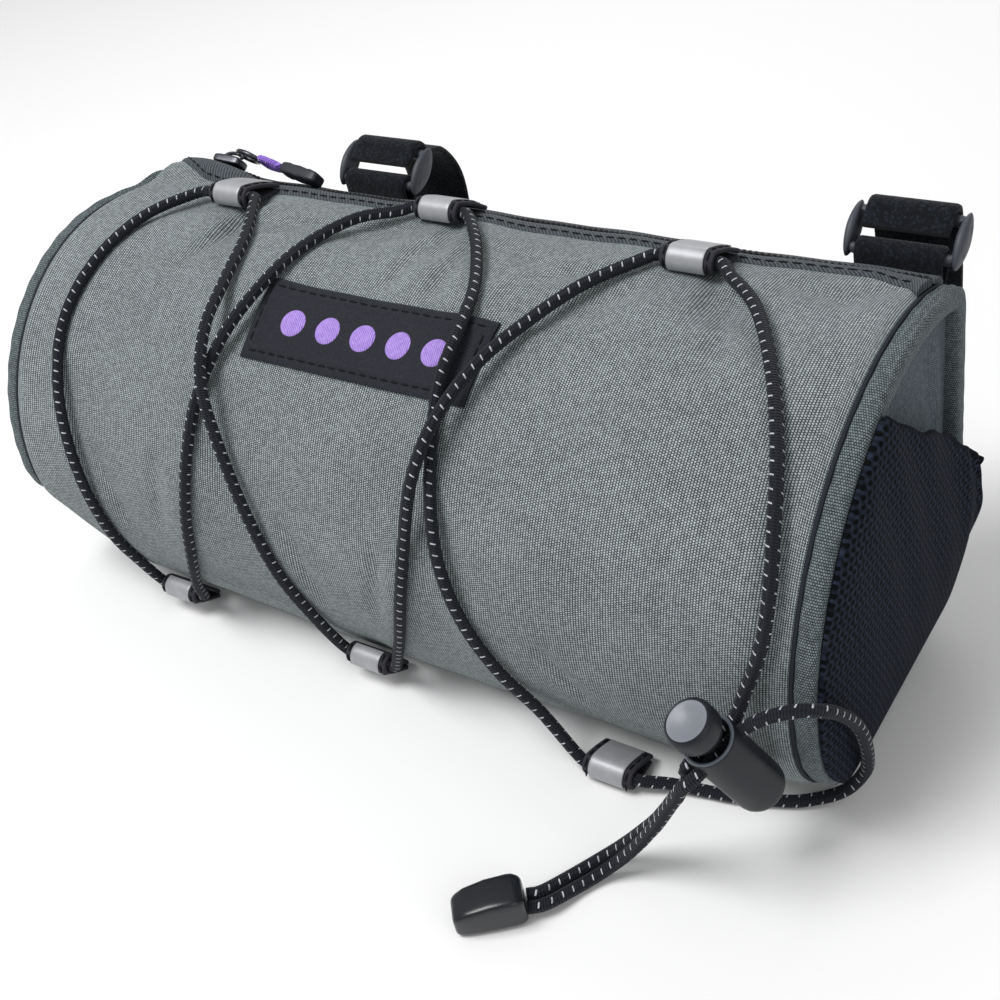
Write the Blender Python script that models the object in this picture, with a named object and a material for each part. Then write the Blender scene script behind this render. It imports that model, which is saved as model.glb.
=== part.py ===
"""Bicycle handlebar bag: a padded loaf-shaped roll bag with a laced bungee cord.

Metres, +Z up, +X to the wearer's right along the handlebar, -Y to the front.
The origin is on the flat underside, below the axis of the round front.
Sizes below are millimetres, and MM turns them to metres when a mesh is made.
Angles go round the bag's axis in degrees: 0 faces the front, 90 the top,
180 the back and -90 the underside.
"""
import math

import bmesh
import bpy
import numpy as np

MM = 0.001
GAP = 0.3                 # running gap between neighbouring pieces

# Main form
SEAM_LENGTH = 230.8       # from end seam to end seam
RADIUS = 60.0             # round front and top
BOTTOM_DEPTH = 37.0       # axis to the underside
BACK_DEPTH = 28.0         # axis to the back panel
LOWER_FRONT_DEPTH = 62.0  # axis to the cut across the lower front corner
LOWER_BACK_DEPTH = 38.0   # axis to the cut across the lower back corner
CORNER_POWER = 28         # the higher, the tighter the corners
REST_FLAT = 0.3           # how far the underside is pressed flat
WALL = 2.5                # padded shell

# Zip
ZIP_FRONT_ANGLE = 105.5
ZIP_TAPE_ANGLE = 5.0
ZIP_COIL_ANGLE = 2.6
ZIP_REAR_ANGLE = 10.0
TAPE_THICKNESS = 1.3
SLIDER_ALONG = -89.5
SLIDER_SIZE = (9.0, 6.0, 3.2)
PULL_RING_SIZE = (9.0, 6.5, 1.4)
PULL_LOOP_LENGTH = 7.5
PULL_LOOP_THICKNESS = 1.5
PULL_LOOP_WIDTH = 4.5
PULL_GRIP_SIZE = (14.0, 5.5, 3.6)
PULL_FALL = 8.5           # degrees by which the pull slopes down to the cloth
COIL_RISE = 0.2           # the coil stands this far proud of the skin
COIL_DEPTH = 1.6
SLIDER_TAPER = 0.3        # share by which the slider narrows towards the pull
SLIDER_BEVEL = 0.7
PULL_RING_AHEAD = 1.0     # the ring's middle lies this far past the slider
GRIP_BEVEL = 1.0

# Ends
PIPING_WIDTH = 5.0
PIPING_DEPTH = 5.0
SEAM_GROOVE = 0.6
END_PANEL_THICKNESS = 2.0
END_PANEL_RECESS = 3.4
END_PANEL_CROWN = 1.2
POCKET_THICKNESS = 1.0
POCKET_FULLNESS = 3.2
POCKET_GAPE = 4.2
POCKET_GAPE_SPREAD = 20.0  # how far the gape reaches from the back corner
POCKET_GAPE_LOWER = 4.0    # the gape is widest this far below the mouth's end
POCKET_RIPPLE = 0.35
POCKET_SEAM_DEPTH = 1.4    # the seam lies this far inside the piping's outline
POCKET_FRONT_ANGLE = 67.0
POCKET_BACK_ANGLE = -197.0

# Label
LABEL_ALONG = (-34.0, 33.0)
LABEL_ANGLES = (49.5, 69.5)
LABEL_THICKNESS = 0.8

# Bungee cord and its webbing loops
CORD = 2.9
CORD_LIFT = 0.8           # gap that the cord keeps to the cloth
LOOP_WIDTH = 13.0
LOOP_REACH = 12.5
LOWER_LOOP_REACH = 9.5
WEBBING = 1.2
REFLECTIVE_WIDTH = 9.0
REFLECTIVE_THICKNESS = 0.4
LOOP_SLACK = 0.6          # room round the cord inside a loop
LOOP_ROUND = CORD / 2 + LOOP_SLACK + WEBBING / 2
LOOP_CLEARANCE = 0.6      # a flat loop's middle stays this far off the round cloth
LOWER_LOOP_CLEARANCE = 1.1
SLACK_LOOP_ROOT = (-53.4, -36.5)  # the slack lower loop lies on the surface: its root in y and z
LOOPS = {
    # name: along, root angle, degrees towards which it points
    "top_loop_left": (-67.6, 103.0, -8.0),
    "top_loop_middle": (-5.0, 110.0, -8.0),
    "top_loop_right": (67.0, 104.5, -8.0),
    "bottom_loop_left": (-71.0, -34.5, 9.0),
    "bottom_loop_middle": (-3.0, -34.5, 9.0),
    "bottom_loop_right": (70.0, None, None),
}

# Cord lock: axis from its closed end to its button, and the way the cords go through
LOCK_FROM_CORNER = (-8.9, -10.2, -0.8)  # its middle, from the right end seam and the front
LOCK_AXIS = (-0.276, -0.357, 0.892)
LOCK_CORD_WAY = (-0.421, -0.769, -0.481)
LOCK_RADIUS = 5.9
LOCK_BODY = 23.6
LOCK_LENGTH = 32.0
LOCK_BORE = 4.7
BORE_FLOOR = 3.0
STEM_RADIUS = 4.4
BUTTON_RADIUS = 5.5
BUTTON_TRAVEL = 3.0
SLOT_MIDDLE = 20.0        # height of the cords above the closed end
STRAND_SPACING = 3.3
SLOT_CUTTER_LENGTH = 20.0  # longer than the lock is wide
LACING_SPACING = 17.0     # between the control points of a cord's curve
TAIL_SPACING = 6.0

# Cord end
CORD_END_SIZE = (16.0, 9.0, 8.6)
CORD_END_FROM_CORNER = (-44.8, -39.4)  # its mouth, from the right end seam and the front
CORD_END_WAY = (-0.765, -0.644)
CORD_END_TOP = 0.82       # share of the width that is left at the top
CORD_END_BEVEL = 0.8
CORD_END_ROWS = [
    # share of the length, of the width and of the height
    (0.0, 0.80, 0.84), (0.10, 0.96, 0.95), (0.35, 1.0, 1.0), (0.80, 0.94, 0.90), (1.0, 0.74, 0.62)]

# Handlebar straps
STRAP_WIDTH = 20.0
STRAP_THICKNESS = 1.8
STRAP_INSETS = (74.9, 10.9)  # from the left and the right end seam
STRAP_REACHES = (18.0, 4.0)  # reach of the loop behind
RING_BAR = 3.0
RING_SIDE = 3.0
RING_TOP = (38.5, 61.0)
RING_BOTTOM = (31.0, 55.5)

HALF = SEAM_LENGTH / 2
AXIS_HEIGHT = BOTTOM_DEPTH - REST_FLAT


def from_corner(points):
    """Places given from the right end seam, the front and the axis height, so that they keep to the bag."""
    return [(HALF + x, y - RADIUS, z) for x, y, z in points]


LOCK_CENTRE = from_corner([LOCK_FROM_CORNER])[0]
CORD_END_MOUTH = from_corner([(*CORD_END_FROM_CORNER, 0.0)])[0][:2]
STRAPS = {"left": (STRAP_INSETS[0] - HALF, STRAP_REACHES[0]), "right": (HALF - STRAP_INSETS[1], STRAP_REACHES[1])}

# Sections: share of the half length, then shares of RADIUS and of the four depths
SECTIONS = [
    # along, round, bottom, back, lower_front, lower_back
    (-1.06, 0.930, 0.62, 0.96, 0.69, 0.82),
    (-1.00, 0.975, 0.74, 1.00, 0.75, 0.88),
    (-0.80, 1.000, 0.94, 1.00, 0.91, 0.97),
    (-0.40, 1.000, 1.00, 1.00, 1.00, 1.00),
    (0.40, 1.000, 1.00, 1.00, 1.00, 1.00),
    (0.80, 1.000, 0.97, 1.00, 0.97, 0.97),
    (1.00, 1.000, 0.84, 1.00, 0.91, 0.88),
    (1.06, 0.965, 0.72, 0.96, 0.84, 0.80),
]
DEPTHS = (("bottom", 2, -90.0), ("back", 3, 180.0), ("lower_front", 4, -44.0), ("lower_back", 5, -135.0))
DEPTH_OF = {"bottom": BOTTOM_DEPTH, "back": BACK_DEPTH,
            "lower_front": LOWER_FRONT_DEPTH, "lower_back": LOWER_BACK_DEPTH}

# Folds: valleys pulled in by the cord and the loops, from one place to another
FOLDS = [
    # along 1, angle 1, along 2, angle 2, width mm, depth mm
    (-0.62, 97, -0.86, 78, 9.0, 1.6),
    (-0.60, 96, -0.42, 62, 8.0, 1.4),
    (-0.05, 98, -0.26, 86, 10.0, 1.8),
    (0.02, 98, 0.22, 80, 8.0, 1.4),
    (0.55, 92, 0.34, 70, 10.0, 1.8),
    (0.64, 92, 0.86, 74, 9.0, 1.5),
    (-0.80, 40, -0.74, 2, 9.0, 1.5),
    (-0.36, 30, -0.20, 6, 9.0, 1.3),
    (-0.50, -14, -0.16, -20, 9.0, 1.5),
    (0.24, 30, 0.36, 4, 9.0, 1.3),
    (0.93, 50, 0.96, 15, 8.0, 1.2),
    (0.98, 104, 0.86, 96, 9.0, 1.2),
    (-1.08, 108, -0.64, 107, 11.0, -5.0),
]

# Where the front edge of the zip runs: share of the half length, degrees past its angle
ZIP_EDGE = [(-1.02, 3.0), (-0.84, 2.8), (-0.50, 0.0), (0.70, 0.0), (0.90, 1.5), (0.97, 0.0), (1.02, -5.0)]

# Cord route, loop by loop: millimetres along, degrees round, millimetres above the usual height
STRANDS = {
    "lock to top right": [
        (107.6, 9, 0.8), (110.3, 19.2, 0.0), (110.6, 30, 0.0), (108.9, 41.2, 0.0), (105.2, 55, 0.0),
        (98.0, 70, 0.0), (88.0, 84, 0.0), (78.0, 92.2, 0.4)],
    "top right to bottom middle": [
        (55.5, 92, 0.4), (47.5, 82, 0.0), (40.8, 70, 0.6), (34.6, 58, 2.4), (30.0, 46, 3.8),
        (26.8, 34, 3.6), (23.8, 20, 0.8), (20.0, 4, 0.0), (15.0, -10, 0.0), (8.5, -22, 0.6)],
    "bottom middle to top left": [
        (-13.5, -18, 0.4), (-19.5, -2, 0.0), (-25.5, 13, 0.0), (-32.5, 28, 1.2), (-38.8, 41, 3.8), (-43.0, 53, 3.6),
        (-46.4, 66, 1.0), (-50.5, 79, 0.0), (-58.0, 91, 0.4)],
    "top left to bottom left": [
        (-80.5, 91.5, 0.2), (-88.5, 80, 0.0), (-93.5, 65, 0.0), (-95.8, 49, 0.0), (-93.6, 34, 0.0),
        (-90.0, 20, 0.0), (-86.6, 6, 0.0), (-84.0, -8, 0.0), (-81.0, -20, 0.4)],
    "bottom left to top middle": [
        (-59.5, -20, 0.6), (-52.5, -6, 0.0), (-47.8, 10, 0.0), (-44.8, 26, 0.0), (-42.6, 40, 0.2),
        (-38.2, 54, 1.4), (-33.4, 68, 1.4), (-31.0, 80, 0.0), (-25.0, 92, 0.0), (-16.0, 98, 0.4)],
    "top middle to bottom right": [
        (6.5, 97.5, 0.4), (15.0, 88, 0.0), (22.6, 76, 0.2), (25.8, 65, 1.4), (26.4, 54, 1.6),
        (27.8, 43, 0.4), (29.8, 30, 0.0), (32.4, 17, 0.0), (37.0, 4, 0.0), (43.5, -9, 0.2), (52.0, -21, 1.6)],
}
# The slack loop from the last webbing loop round the lower right corner to the lock
SLACK = from_corner([
    (-31.4, 2.0, -34.4), (-24.4, 3.8, -35.1), (-17.3, 5.1, -35.1), (-9.9, 7.4, -35.1),
    (-2.9, 10.4, -35.1), (4.1, 15.5, -34.0), (8.2, 17.8, -28.0), (10.2, 15.0, -18.5),
    (11.0, 11.0, -7.5), (10.4, 8.1, -0.9), (9.5, 4.4, 4.5), (8.2, 0.7, 8.8),
    (5.6, -2.4, 11.0), (2.1, -4.2, 10.6), (-1.9, -5.8, 8.8)])
# The middle of the two tail strands, from the lock down to the surface and on to the cord end
TAIL = from_corner([
    (-15.2, -18.0, -5.5), (-18.5, -18.1, -12.0), (-21.9, -18.4, -18.5), (-26.0, -19.0, -25.0),
    (-30.6, -20.9, -30.8), (-34.9, -24.4, -34.3), (-38.2, -29.4, -35.1)])


def unit(v):
    v = np.asarray(v, float)
    return v / np.linalg.norm(v)


def section_radius(along, angle):
    """Distance of the skin from the axis: a soft minimum of the circle and four flats."""
    share = np.asarray(along, float) / HALF
    angle = np.radians(np.asarray(angle, float))
    table = np.array(SECTIONS)
    total = (RADIUS * np.interp(share, table[:, 0], table[:, 1])) ** -float(CORNER_POWER)
    for name, column, facing in DEPTHS:
        depth = DEPTH_OF[name] * np.interp(share, table[:, 0], table[:, column])
        facing_cos = np.maximum(np.cos(angle - math.radians(facing)), 1e-6)
        total = total + (facing_cos / depth) ** CORNER_POWER
    return total ** (-1.0 / CORNER_POWER)


def fold_depth(along, angle):
    """How far the folds pull the skin in: rounded valleys that fade at both ends."""
    arc = np.radians(angle) * RADIUS
    depth = np.zeros(np.broadcast(along, angle).shape)
    for x1, a1, x2, a2, width, deep in FOLDS:
        p = np.array([x1 * HALF, math.radians(a1) * RADIUS])
        q = np.array([x2 * HALF, math.radians(a2) * RADIUS])
        length = np.linalg.norm(q - p)
        way = (q - p) / length
        t = ((along - p[0]) * way[0] + (arc - p[1]) * way[1]) / length
        off = (along - p[0]) * -way[1] + (arc - p[1]) * way[0]
        fade = np.clip(1.0 - (2.0 * np.abs(t - 0.5)) ** 3, 0.0, 1.0)
        depth = depth + deep * fade * np.exp(-(2.0 * off / width) ** 2)
    return depth


def bare_skin(along, angle, folded=True):
    along, angle = np.broadcast_arrays(np.asarray(along, float), np.asarray(angle, float))
    r = section_radius(along, angle)
    if folded:
        r = r - fold_depth(along, angle)
    a = np.radians(angle)
    z = np.maximum(r * np.sin(a), -AXIS_HEIGHT)
    return np.stack([along, -r * np.cos(a), z], -1)


def skin(along, angle, lift=0.0, folded=False):
    """Point of the bag's skin, moved out along the skin's own normal by lift."""
    step = 0.6
    p = bare_skin(along, angle, folded)
    angle = np.asarray(angle, float)
    turn = bare_skin(along, angle + step, folded) - bare_skin(along, angle - step, folded)
    normal = np.stack([np.zeros_like(turn[..., 0]), -turn[..., 2], turn[..., 1]], -1)
    normal /= np.linalg.norm(normal, axis=-1, keepdims=True)
    return p + normal * np.asarray(lift, float)[..., None]


def zip_edge(along):
    table = np.array(ZIP_EDGE)
    return ZIP_FRONT_ANGLE + np.interp(np.asarray(along, float) / HALF, table[:, 0], table[:, 1])


def material(name, colour, roughness, metallic=0.0):
    mat = bpy.data.materials.get(name)
    if mat is None:
        mat = bpy.data.materials.new(name)
        mat.use_nodes = True
        shader = mat.node_tree.nodes["Principled BSDF"]
        shader.inputs["Base Color"].default_value = (*colour, 1.0)
        shader.inputs["Roughness"].default_value = roughness
        shader.inputs["Metallic"].default_value = metallic
        mat.diffuse_color = (*colour, 1.0)
    return mat


def finish_object(name, mesh, mat, smooth_angle=35):
    """Shade the mesh, give it its material and put it in the scene."""
    mesh.shade_smooth()
    mesh.set_sharp_from_angle(angle=math.radians(smooth_angle))
    mesh.materials.append(mat)
    made = bpy.data.objects.new(name, mesh)
    bpy.context.collection.objects.link(made)
    return made


def solid(name, points, faces, mat):
    """A closed mesh from millimetre points about the axis, with its faces turned outwards."""
    points = (np.asarray(points, float) + (0.0, 0.0, AXIS_HEIGHT)) * MM
    mesh = bpy.data.meshes.new(name)
    mesh.from_pydata(points.tolist(), [], [list(face) for face in faces])
    shape = bmesh.new()
    shape.from_mesh(mesh)
    bmesh.ops.remove_doubles(shape, verts=shape.verts, dist=1e-6)
    bmesh.ops.recalc_face_normals(shape, faces=shape.faces)
    if shape.calc_volume(signed=True) < 0:
        bmesh.ops.reverse_faces(shape, faces=shape.faces)
    shape.to_mesh(mesh)
    shape.free()
    return finish_object(name, mesh, mat)


def grid_faces(rows, columns, around_rows=False, around_columns=False):
    """Quads of a grid whose rows or columns may close on themselves."""
    faces = []
    for i in range(rows if around_rows else rows - 1):
        for j in range(columns if around_columns else columns - 1):
            k, m = (i + 1) % rows, (j + 1) % columns
            faces.append((i * columns + j, k * columns + j, k * columns + m, i * columns + m))
    return faces


def sheet_solid(name, outer, inner, mat):
    """A sheet with a thickness, between two grids of the same size."""
    rows, columns = outer.shape[:2]
    count = rows * columns
    faces = grid_faces(rows, columns)
    faces += [tuple(count + v for v in reversed(face)) for face in grid_faces(rows, columns)]
    edge = [j for j in range(columns)]
    edge += [i * columns + columns - 1 for i in range(1, rows)]
    edge += [(rows - 1) * columns + j for j in range(columns - 2, -1, -1)]
    edge += [i * columns for i in range(rows - 2, 0, -1)]
    for a, b in zip(edge, edge[1:] + edge[:1]):
        faces.append((a, b, count + b, count + a))
    points = np.concatenate([outer.reshape(-1, 3), inner.reshape(-1, 3)])
    return solid(name, points, faces, mat)


def skin_strip(name, along, angles, lifts, mat, folded=False):
    """A strip lying on the skin between two lifts; angles hold one row for each place along."""
    along = np.asarray(along, float)[:, None] + np.zeros_like(angles)
    outer = skin(along, angles, np.full(angles.shape, lifts[1]), folded)
    inner = skin(along, angles, np.full(angles.shape, lifts[0]), folded)
    return sheet_solid(name, outer, inner, mat)


def band(name, path, width_way, width, thickness, mat, closed=False):
    """A flat band with its middle on a path, and its width along one fixed direction."""
    path = np.asarray(path, float)
    ahead = np.roll(path, -1, 0) - np.roll(path, 1, 0)
    if not closed:
        ahead[0] = path[1] - path[0]
        ahead[-1] = path[-1] - path[-2]
    ahead /= np.linalg.norm(ahead, axis=1)[:, None]
    side = unit(width_way)
    up = np.cross(ahead, side)
    up /= np.linalg.norm(up, axis=1)[:, None]
    corners = [side * a * width / 2 + up * b * thickness / 2 for a, b in ((-1, -1), (1, -1), (1, 1), (-1, 1))]
    points = np.stack([path + corner for corner in corners], 1)
    faces = grid_faces(len(path), 4, around_rows=closed, around_columns=True)
    if not closed:
        last = 4 * (len(path) - 1)
        faces += [(0, 1, 2, 3), (last, last + 1, last + 2, last + 3)]
    return solid(name, points.reshape(-1, 3), faces, mat)


def ring_sweep(name, centres, out_way, across_way, profile, mat):
    """A closed ring: each profile point is (out, across) from each centre."""
    profile = np.asarray(profile, float)
    points = (centres[:, None] + out_way[:, None] * profile[None, :, :1]
              + across_way[None, None] * profile[None, :, 1:])
    faces = grid_faces(len(centres), len(profile), True, True)
    return solid(name, points.reshape(-1, 3), faces, mat)


def turned(profile, sides, centre, axis):
    """Points and faces of a turned solid, from (radius, height) pairs that start and end on the axis."""
    axis = unit(axis)
    first = unit(np.cross(axis, (0.3, 1.0, 0.2)))
    second = np.cross(axis, first)
    turn = np.radians(np.arange(sides) * 360.0 / sides)
    ring = np.cos(turn)[:, None] * first + np.sin(turn)[:, None] * second
    points = [np.asarray(centre) + axis * profile[0][1]]
    for radius, height in profile[1:-1]:
        points += list(np.asarray(centre) + axis * height + ring * radius)
    points.append(np.asarray(centre) + axis * profile[-1][1])
    faces = []
    rows = len(profile) - 2
    for j in range(sides):
        k = (j + 1) % sides
        faces.append((0, 1 + k, 1 + j))
        faces += [(1 + i * sides + j, 1 + i * sides + k, 1 + (i + 1) * sides + k, 1 + (i + 1) * sides + j)
                  for i in range(rows - 1)]
        faces.append((1 + (rows - 1) * sides + j, 1 + (rows - 1) * sides + k, 1 + rows * sides))
    return np.array(points), faces


def box_points(centre, ways, size):
    """Corners and faces of a box turned to three directions."""
    ways = [unit(way) for way in ways]
    signs = [(-1, -1, -1), (1, -1, -1), (1, 1, -1), (-1, 1, -1), (-1, -1, 1), (1, -1, 1), (1, 1, 1), (-1, 1, 1)]
    points = [np.asarray(centre, float) + sum(s * w * l / 2 for s, w, l in zip(sign, ways, size)) for sign in signs]
    faces = [(0, 3, 2, 1), (4, 5, 6, 7), (0, 1, 5, 4), (1, 2, 6, 5), (2, 3, 7, 6), (3, 0, 4, 7)]
    return np.array(points), faces


def bevelled(made, width, segments=2):
    bevel = made.modifiers.new("soft edges", "BEVEL")
    bevel.width = width * MM
    bevel.segments = segments
    bevel.limit_method = "ANGLE"
    bevel.angle_limit = math.radians(40)
    return made


def cut(made, cutter):
    """Cut one solid out of another."""
    cutter.hide_render = True
    cutter.display_type = "WIRE"
    boolean = made.modifiers.new("cut", "BOOLEAN")
    boolean.operation = "DIFFERENCE"
    boolean.object = cutter


def smooth_route(points, spacing):
    """A smooth curve through the points: each point is kept, and long stretches between are divided."""
    points = np.asarray(points, float)
    ends = np.concatenate([[2 * points[0] - points[1]], points, [2 * points[-1] - points[-2]]])
    route = []
    for a, b, c, d in zip(ends, ends[1:], ends[2:], ends[3:]):
        pieces = max(1, int(round(np.linalg.norm(c - b) / spacing)))
        t = (np.arange(pieces) / pieces)[:, None]
        route.append(0.5 * (2 * b + (c - a) * t + (2 * a - 5 * b + 4 * c - d) * t ** 2
                            + (3 * b - a - 3 * c + d) * t ** 3))
    return np.concatenate(route + [points[-1:]])


def cord(name, points, mat):
    """A round cord as a bevelled curve through its points."""
    curve = bpy.data.curves.new(name, "CURVE")
    curve.dimensions = "3D"
    curve.bevel_depth = CORD / 2 * MM
    curve.bevel_resolution = 2
    curve.use_fill_caps = True
    spline = curve.splines.new("POLY")
    spline.points.add(len(points) - 1)
    for at, point in zip(spline.points, (points + (0.0, 0.0, AXIS_HEIGHT)) * MM):
        at.co = (*point, 1.0)
    curve.materials.append(mat)
    made = bpy.data.objects.new(name, curve)
    bpy.context.collection.objects.link(made)
    return made


def shell_stations(count):
    """Places along the bag from seam to seam."""
    return np.linspace(-HALF + SEAM_GROOVE / 2, HALF - SEAM_GROOVE / 2, count)


def make_body():
    """The padded wrap: from the zip's front edge round the front and underside to its rear edge."""
    fabric = material("grey_green_fabric", (0.165, 0.195, 0.195), 0.85)
    along = shell_stations(25)
    rear = ZIP_FRONT_ANGLE + ZIP_TAPE_ANGLE + ZIP_COIL_ANGLE + ZIP_REAR_ANGLE - 360.0
    share = np.linspace(0, 1, 40)
    front = zip_edge(along)[:, None]
    angles = front + (rear - front) * share[None, :]
    skin_strip("body_panel", along, angles, (-WALL, 0.0), fabric, folded=True)


def make_zip():
    """Two tapes and a coil that close the slot along the top rear edge."""
    tape = material("dark_grey_tape", (0.045, 0.05, 0.06), 0.8)
    coil = material("black_coil", (0.012, 0.012, 0.015), 0.5)
    along = shell_stations(25)
    gap = math.degrees(GAP / RADIUS)
    front = zip_edge(along)
    coil_front = np.full_like(front, ZIP_FRONT_ANGLE + ZIP_TAPE_ANGLE)
    coil_rear = coil_front + ZIP_COIL_ANGLE
    rear = coil_rear + ZIP_REAR_ANGLE
    lifts = (-TAPE_THICKNESS - COIL_RISE, -COIL_RISE)
    edges = (("zip_tape_front", front + gap, coil_front - gap, tape, lifts),
             ("zip_coil", coil_front + gap, coil_rear - gap, coil, (-COIL_DEPTH, COIL_RISE)),
             ("zip_tape_rear", coil_rear + gap, rear - 2.5 * gap, tape, lifts))
    for name, start, end, mat, levels in edges:
        steps = 2 if name == "zip_coil" else 3
        angles = start[:, None] + (end - start)[:, None] * np.linspace(0, 1, steps)
        skin_strip(name, along, angles, levels, mat, folded=True)


def make_slider():
    """The zip slider with its ring, cord loop and moulded grip, lying along the tape."""
    metal = material("dark_metal", (0.05, 0.05, 0.055), 0.35, 0.8)
    angle = ZIP_FRONT_ANGLE + ZIP_TAPE_ANGLE + ZIP_COIL_ANGLE / 2
    way = np.array([1.0, 0.0, 0.0])
    foot = skin(SLIDER_ALONG, angle, 0.0, folded=True)
    up = unit(skin(SLIDER_ALONG, angle, 1.0, folded=True) - foot)
    across = np.cross(up, way)
    top_of_slider = COIL_RISE + GAP + SLIDER_SIZE[2]
    centre = foot + up * (top_of_slider - SLIDER_SIZE[2] / 2)
    points, faces = box_points(centre, (way, across, up), SLIDER_SIZE)
    points[[1, 2, 5, 6]] -= (points[[1, 2, 5, 6]] - centre) @ np.outer(across, across) * SLIDER_TAPER
    bevelled(solid("zip_slider", points, faces, metal), SLIDER_BEVEL)

    turn = np.radians(np.arange(0, 360, 24))
    ahead = SLIDER_SIZE[0] / 2 + PULL_RING_AHEAD
    ring_at = foot + up * (top_of_slider + GAP + PULL_RING_SIZE[2] / 2) + way * ahead
    fall = math.radians(PULL_FALL)
    way, up = way * math.cos(fall) - up * math.sin(fall), up * math.cos(fall) + way * math.sin(fall)
    long_half = PULL_RING_SIZE[0] / 2 - PULL_RING_SIZE[2] / 2
    wide_half = PULL_RING_SIZE[1] / 2 - PULL_RING_SIZE[2] / 2
    out = np.cos(turn)[:, None] * way + np.sin(turn)[:, None] * across
    centres = ring_at + np.cos(turn)[:, None] * way * long_half + np.sin(turn)[:, None] * across * wide_half
    half = PULL_RING_SIZE[2] / 2
    profile = [(half * math.cos(t), half * math.sin(t)) for t in np.radians(np.arange(0, 360, 60))]
    ring_sweep("pull_ring", centres, out, up, profile, metal)

    purple = material("purple_cord", (0.30, 0.16, 0.62), 0.6)
    start = ring_at + way * (long_half + half + PULL_LOOP_THICKNESS / 2 + GAP)
    end = start + way * PULL_LOOP_LENGTH
    side = across * PULL_LOOP_WIDTH / 2
    path = smooth_route([start, start + way * PULL_LOOP_LENGTH * 0.14 + side,
                         start + way * PULL_LOOP_LENGTH * 0.6 + side, end + side * 0.55], 3.0)
    other = path - 2 * ((path - start) @ across)[:, None] * across
    loop = np.concatenate([path[1:], other[:0:-1]])
    band("pull_loop", np.concatenate([path[:1], loop]), up, PULL_LOOP_THICKNESS, PULL_LOOP_THICKNESS,
         purple, closed=True)

    rubber = material("black_moulding", (0.02, 0.022, 0.03), 0.55)
    centre = end + way * (PULL_GRIP_SIZE[0] / 2 + PULL_LOOP_THICKNESS / 2 + GAP)
    points, faces = box_points(centre, (way, across, up), PULL_GRIP_SIZE)
    bevelled(solid("pull_grip", points, faces, rubber), GRIP_BEVEL, 3)


def outline(along, lift, steps):
    """The section's closed outline at one place along the bag."""
    angles = np.linspace(0, 360, steps, endpoint=False) - 180.0
    return skin(np.full(steps, along), angles, np.full(steps, lift))


def make_end(side, name):
    """Piping round the end and the panel inside it."""
    cloth = material("grey_end_fabric", (0.075, 0.095, 0.12), 0.85)
    piping = material("grey_piping", (0.11, 0.13, 0.14), 0.8)
    steps = 40
    start = HALF + SEAM_GROOVE / 2
    middle = side * (start + PIPING_WIDTH / 2)
    inner = outline(middle, -PIPING_DEPTH / 2, steps)
    outer = outline(middle, 0.0, steps)
    out = (outer - inner) / np.linalg.norm(outer - inner, axis=1)[:, None]
    half_deep, half_wide = PIPING_DEPTH / 2, PIPING_WIDTH / 2
    profile = [(half_deep * 0.9, -half_wide), (half_deep, half_wide * 0.35), (half_deep * 0.45, half_wide),
               (-half_deep * 0.6, half_wide), (-half_deep, half_wide * 0.2), (-half_deep, -half_wide)]
    ring_sweep("piping_" + name, inner, out, np.array([side, 0.0, 0.0]), profile, piping)

    face_at = start + PIPING_WIDTH - END_PANEL_RECESS
    rim = outline(middle, -PIPING_DEPTH - GAP, steps)
    centre = rim.mean(axis=0)
    shares = (1.0, 0.72, 0.4)
    points = []
    for base in (face_at, face_at - END_PANEL_THICKNESS):
        for share in shares:
            ring = centre + (rim - centre) * share
            ring[:, 0] = side * (base + END_PANEL_CROWN * (1 - share ** 2))
            points += list(ring)
        points.append(np.array([side * (base + END_PANEL_CROWN), centre[1], centre[2]]))
    per_side = len(shares) * steps + 1
    faces = []
    for j in range(steps):
        k = (j + 1) % steps
        for base in (0, per_side):
            for i in range(len(shares) - 1):
                faces.append((base + i * steps + j, base + i * steps + k,
                              base + (i + 1) * steps + k, base + (i + 1) * steps + j))
            faces.append((base + (len(shares) - 1) * steps + j, base + (len(shares) - 1) * steps + k,
                          base + per_side - 1))
        faces.append((j, k, per_side + k, per_side + j))
    solid("end_panel_" + name, points, faces, cloth)


def make_pocket():
    """The mesh pocket on the right end, sewn into the piping below and gaping at its mouth."""
    mesh_cloth = material("navy_mesh", (0.012, 0.017, 0.03), 0.75)
    columns, rows = 22, 7
    around = np.linspace(POCKET_FRONT_ANGLE, POCKET_BACK_ANGLE, columns)
    face_at = HALF + SEAM_GROOVE / 2 + PIPING_WIDTH + GAP
    seam = skin(np.full(columns, HALF + PIPING_WIDTH / 2), around, np.full(columns, -POCKET_SEAM_DEPTH))
    seam[:, 0] = face_at
    u = np.linspace(0, 1, columns)[:, None]
    mouth = seam[0] * (1 - u) + seam[-1] * u
    grids = []
    for level in (POCKET_THICKNESS, 0.0):
        grid = []
        for v in np.linspace(0, 1, rows):
            line = seam * (1 - v) + mouth * v
            far = np.hypot(line[:, 1] - seam[-1, 1], line[:, 2] - seam[-1, 2] + POCKET_GAPE_LOWER)
            near_back = np.exp(-(far / POCKET_GAPE_SPREAD) ** 2)
            full = POCKET_FULLNESS * np.sin(math.pi * min(v, 0.5)) ** 0.7 * np.sin(math.pi * u[:, 0]) ** 0.5
            ripple = POCKET_RIPPLE * np.sin(line[:, 1] * 0.45) * v
            line[:, 0] += level + full + POCKET_GAPE * near_back * (0.25 + 0.75 * v) + ripple
            grid.append(line)
        grids.append(np.array(grid))
    sheet_solid("mesh_pocket", grids[0], grids[1], mesh_cloth)


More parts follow.
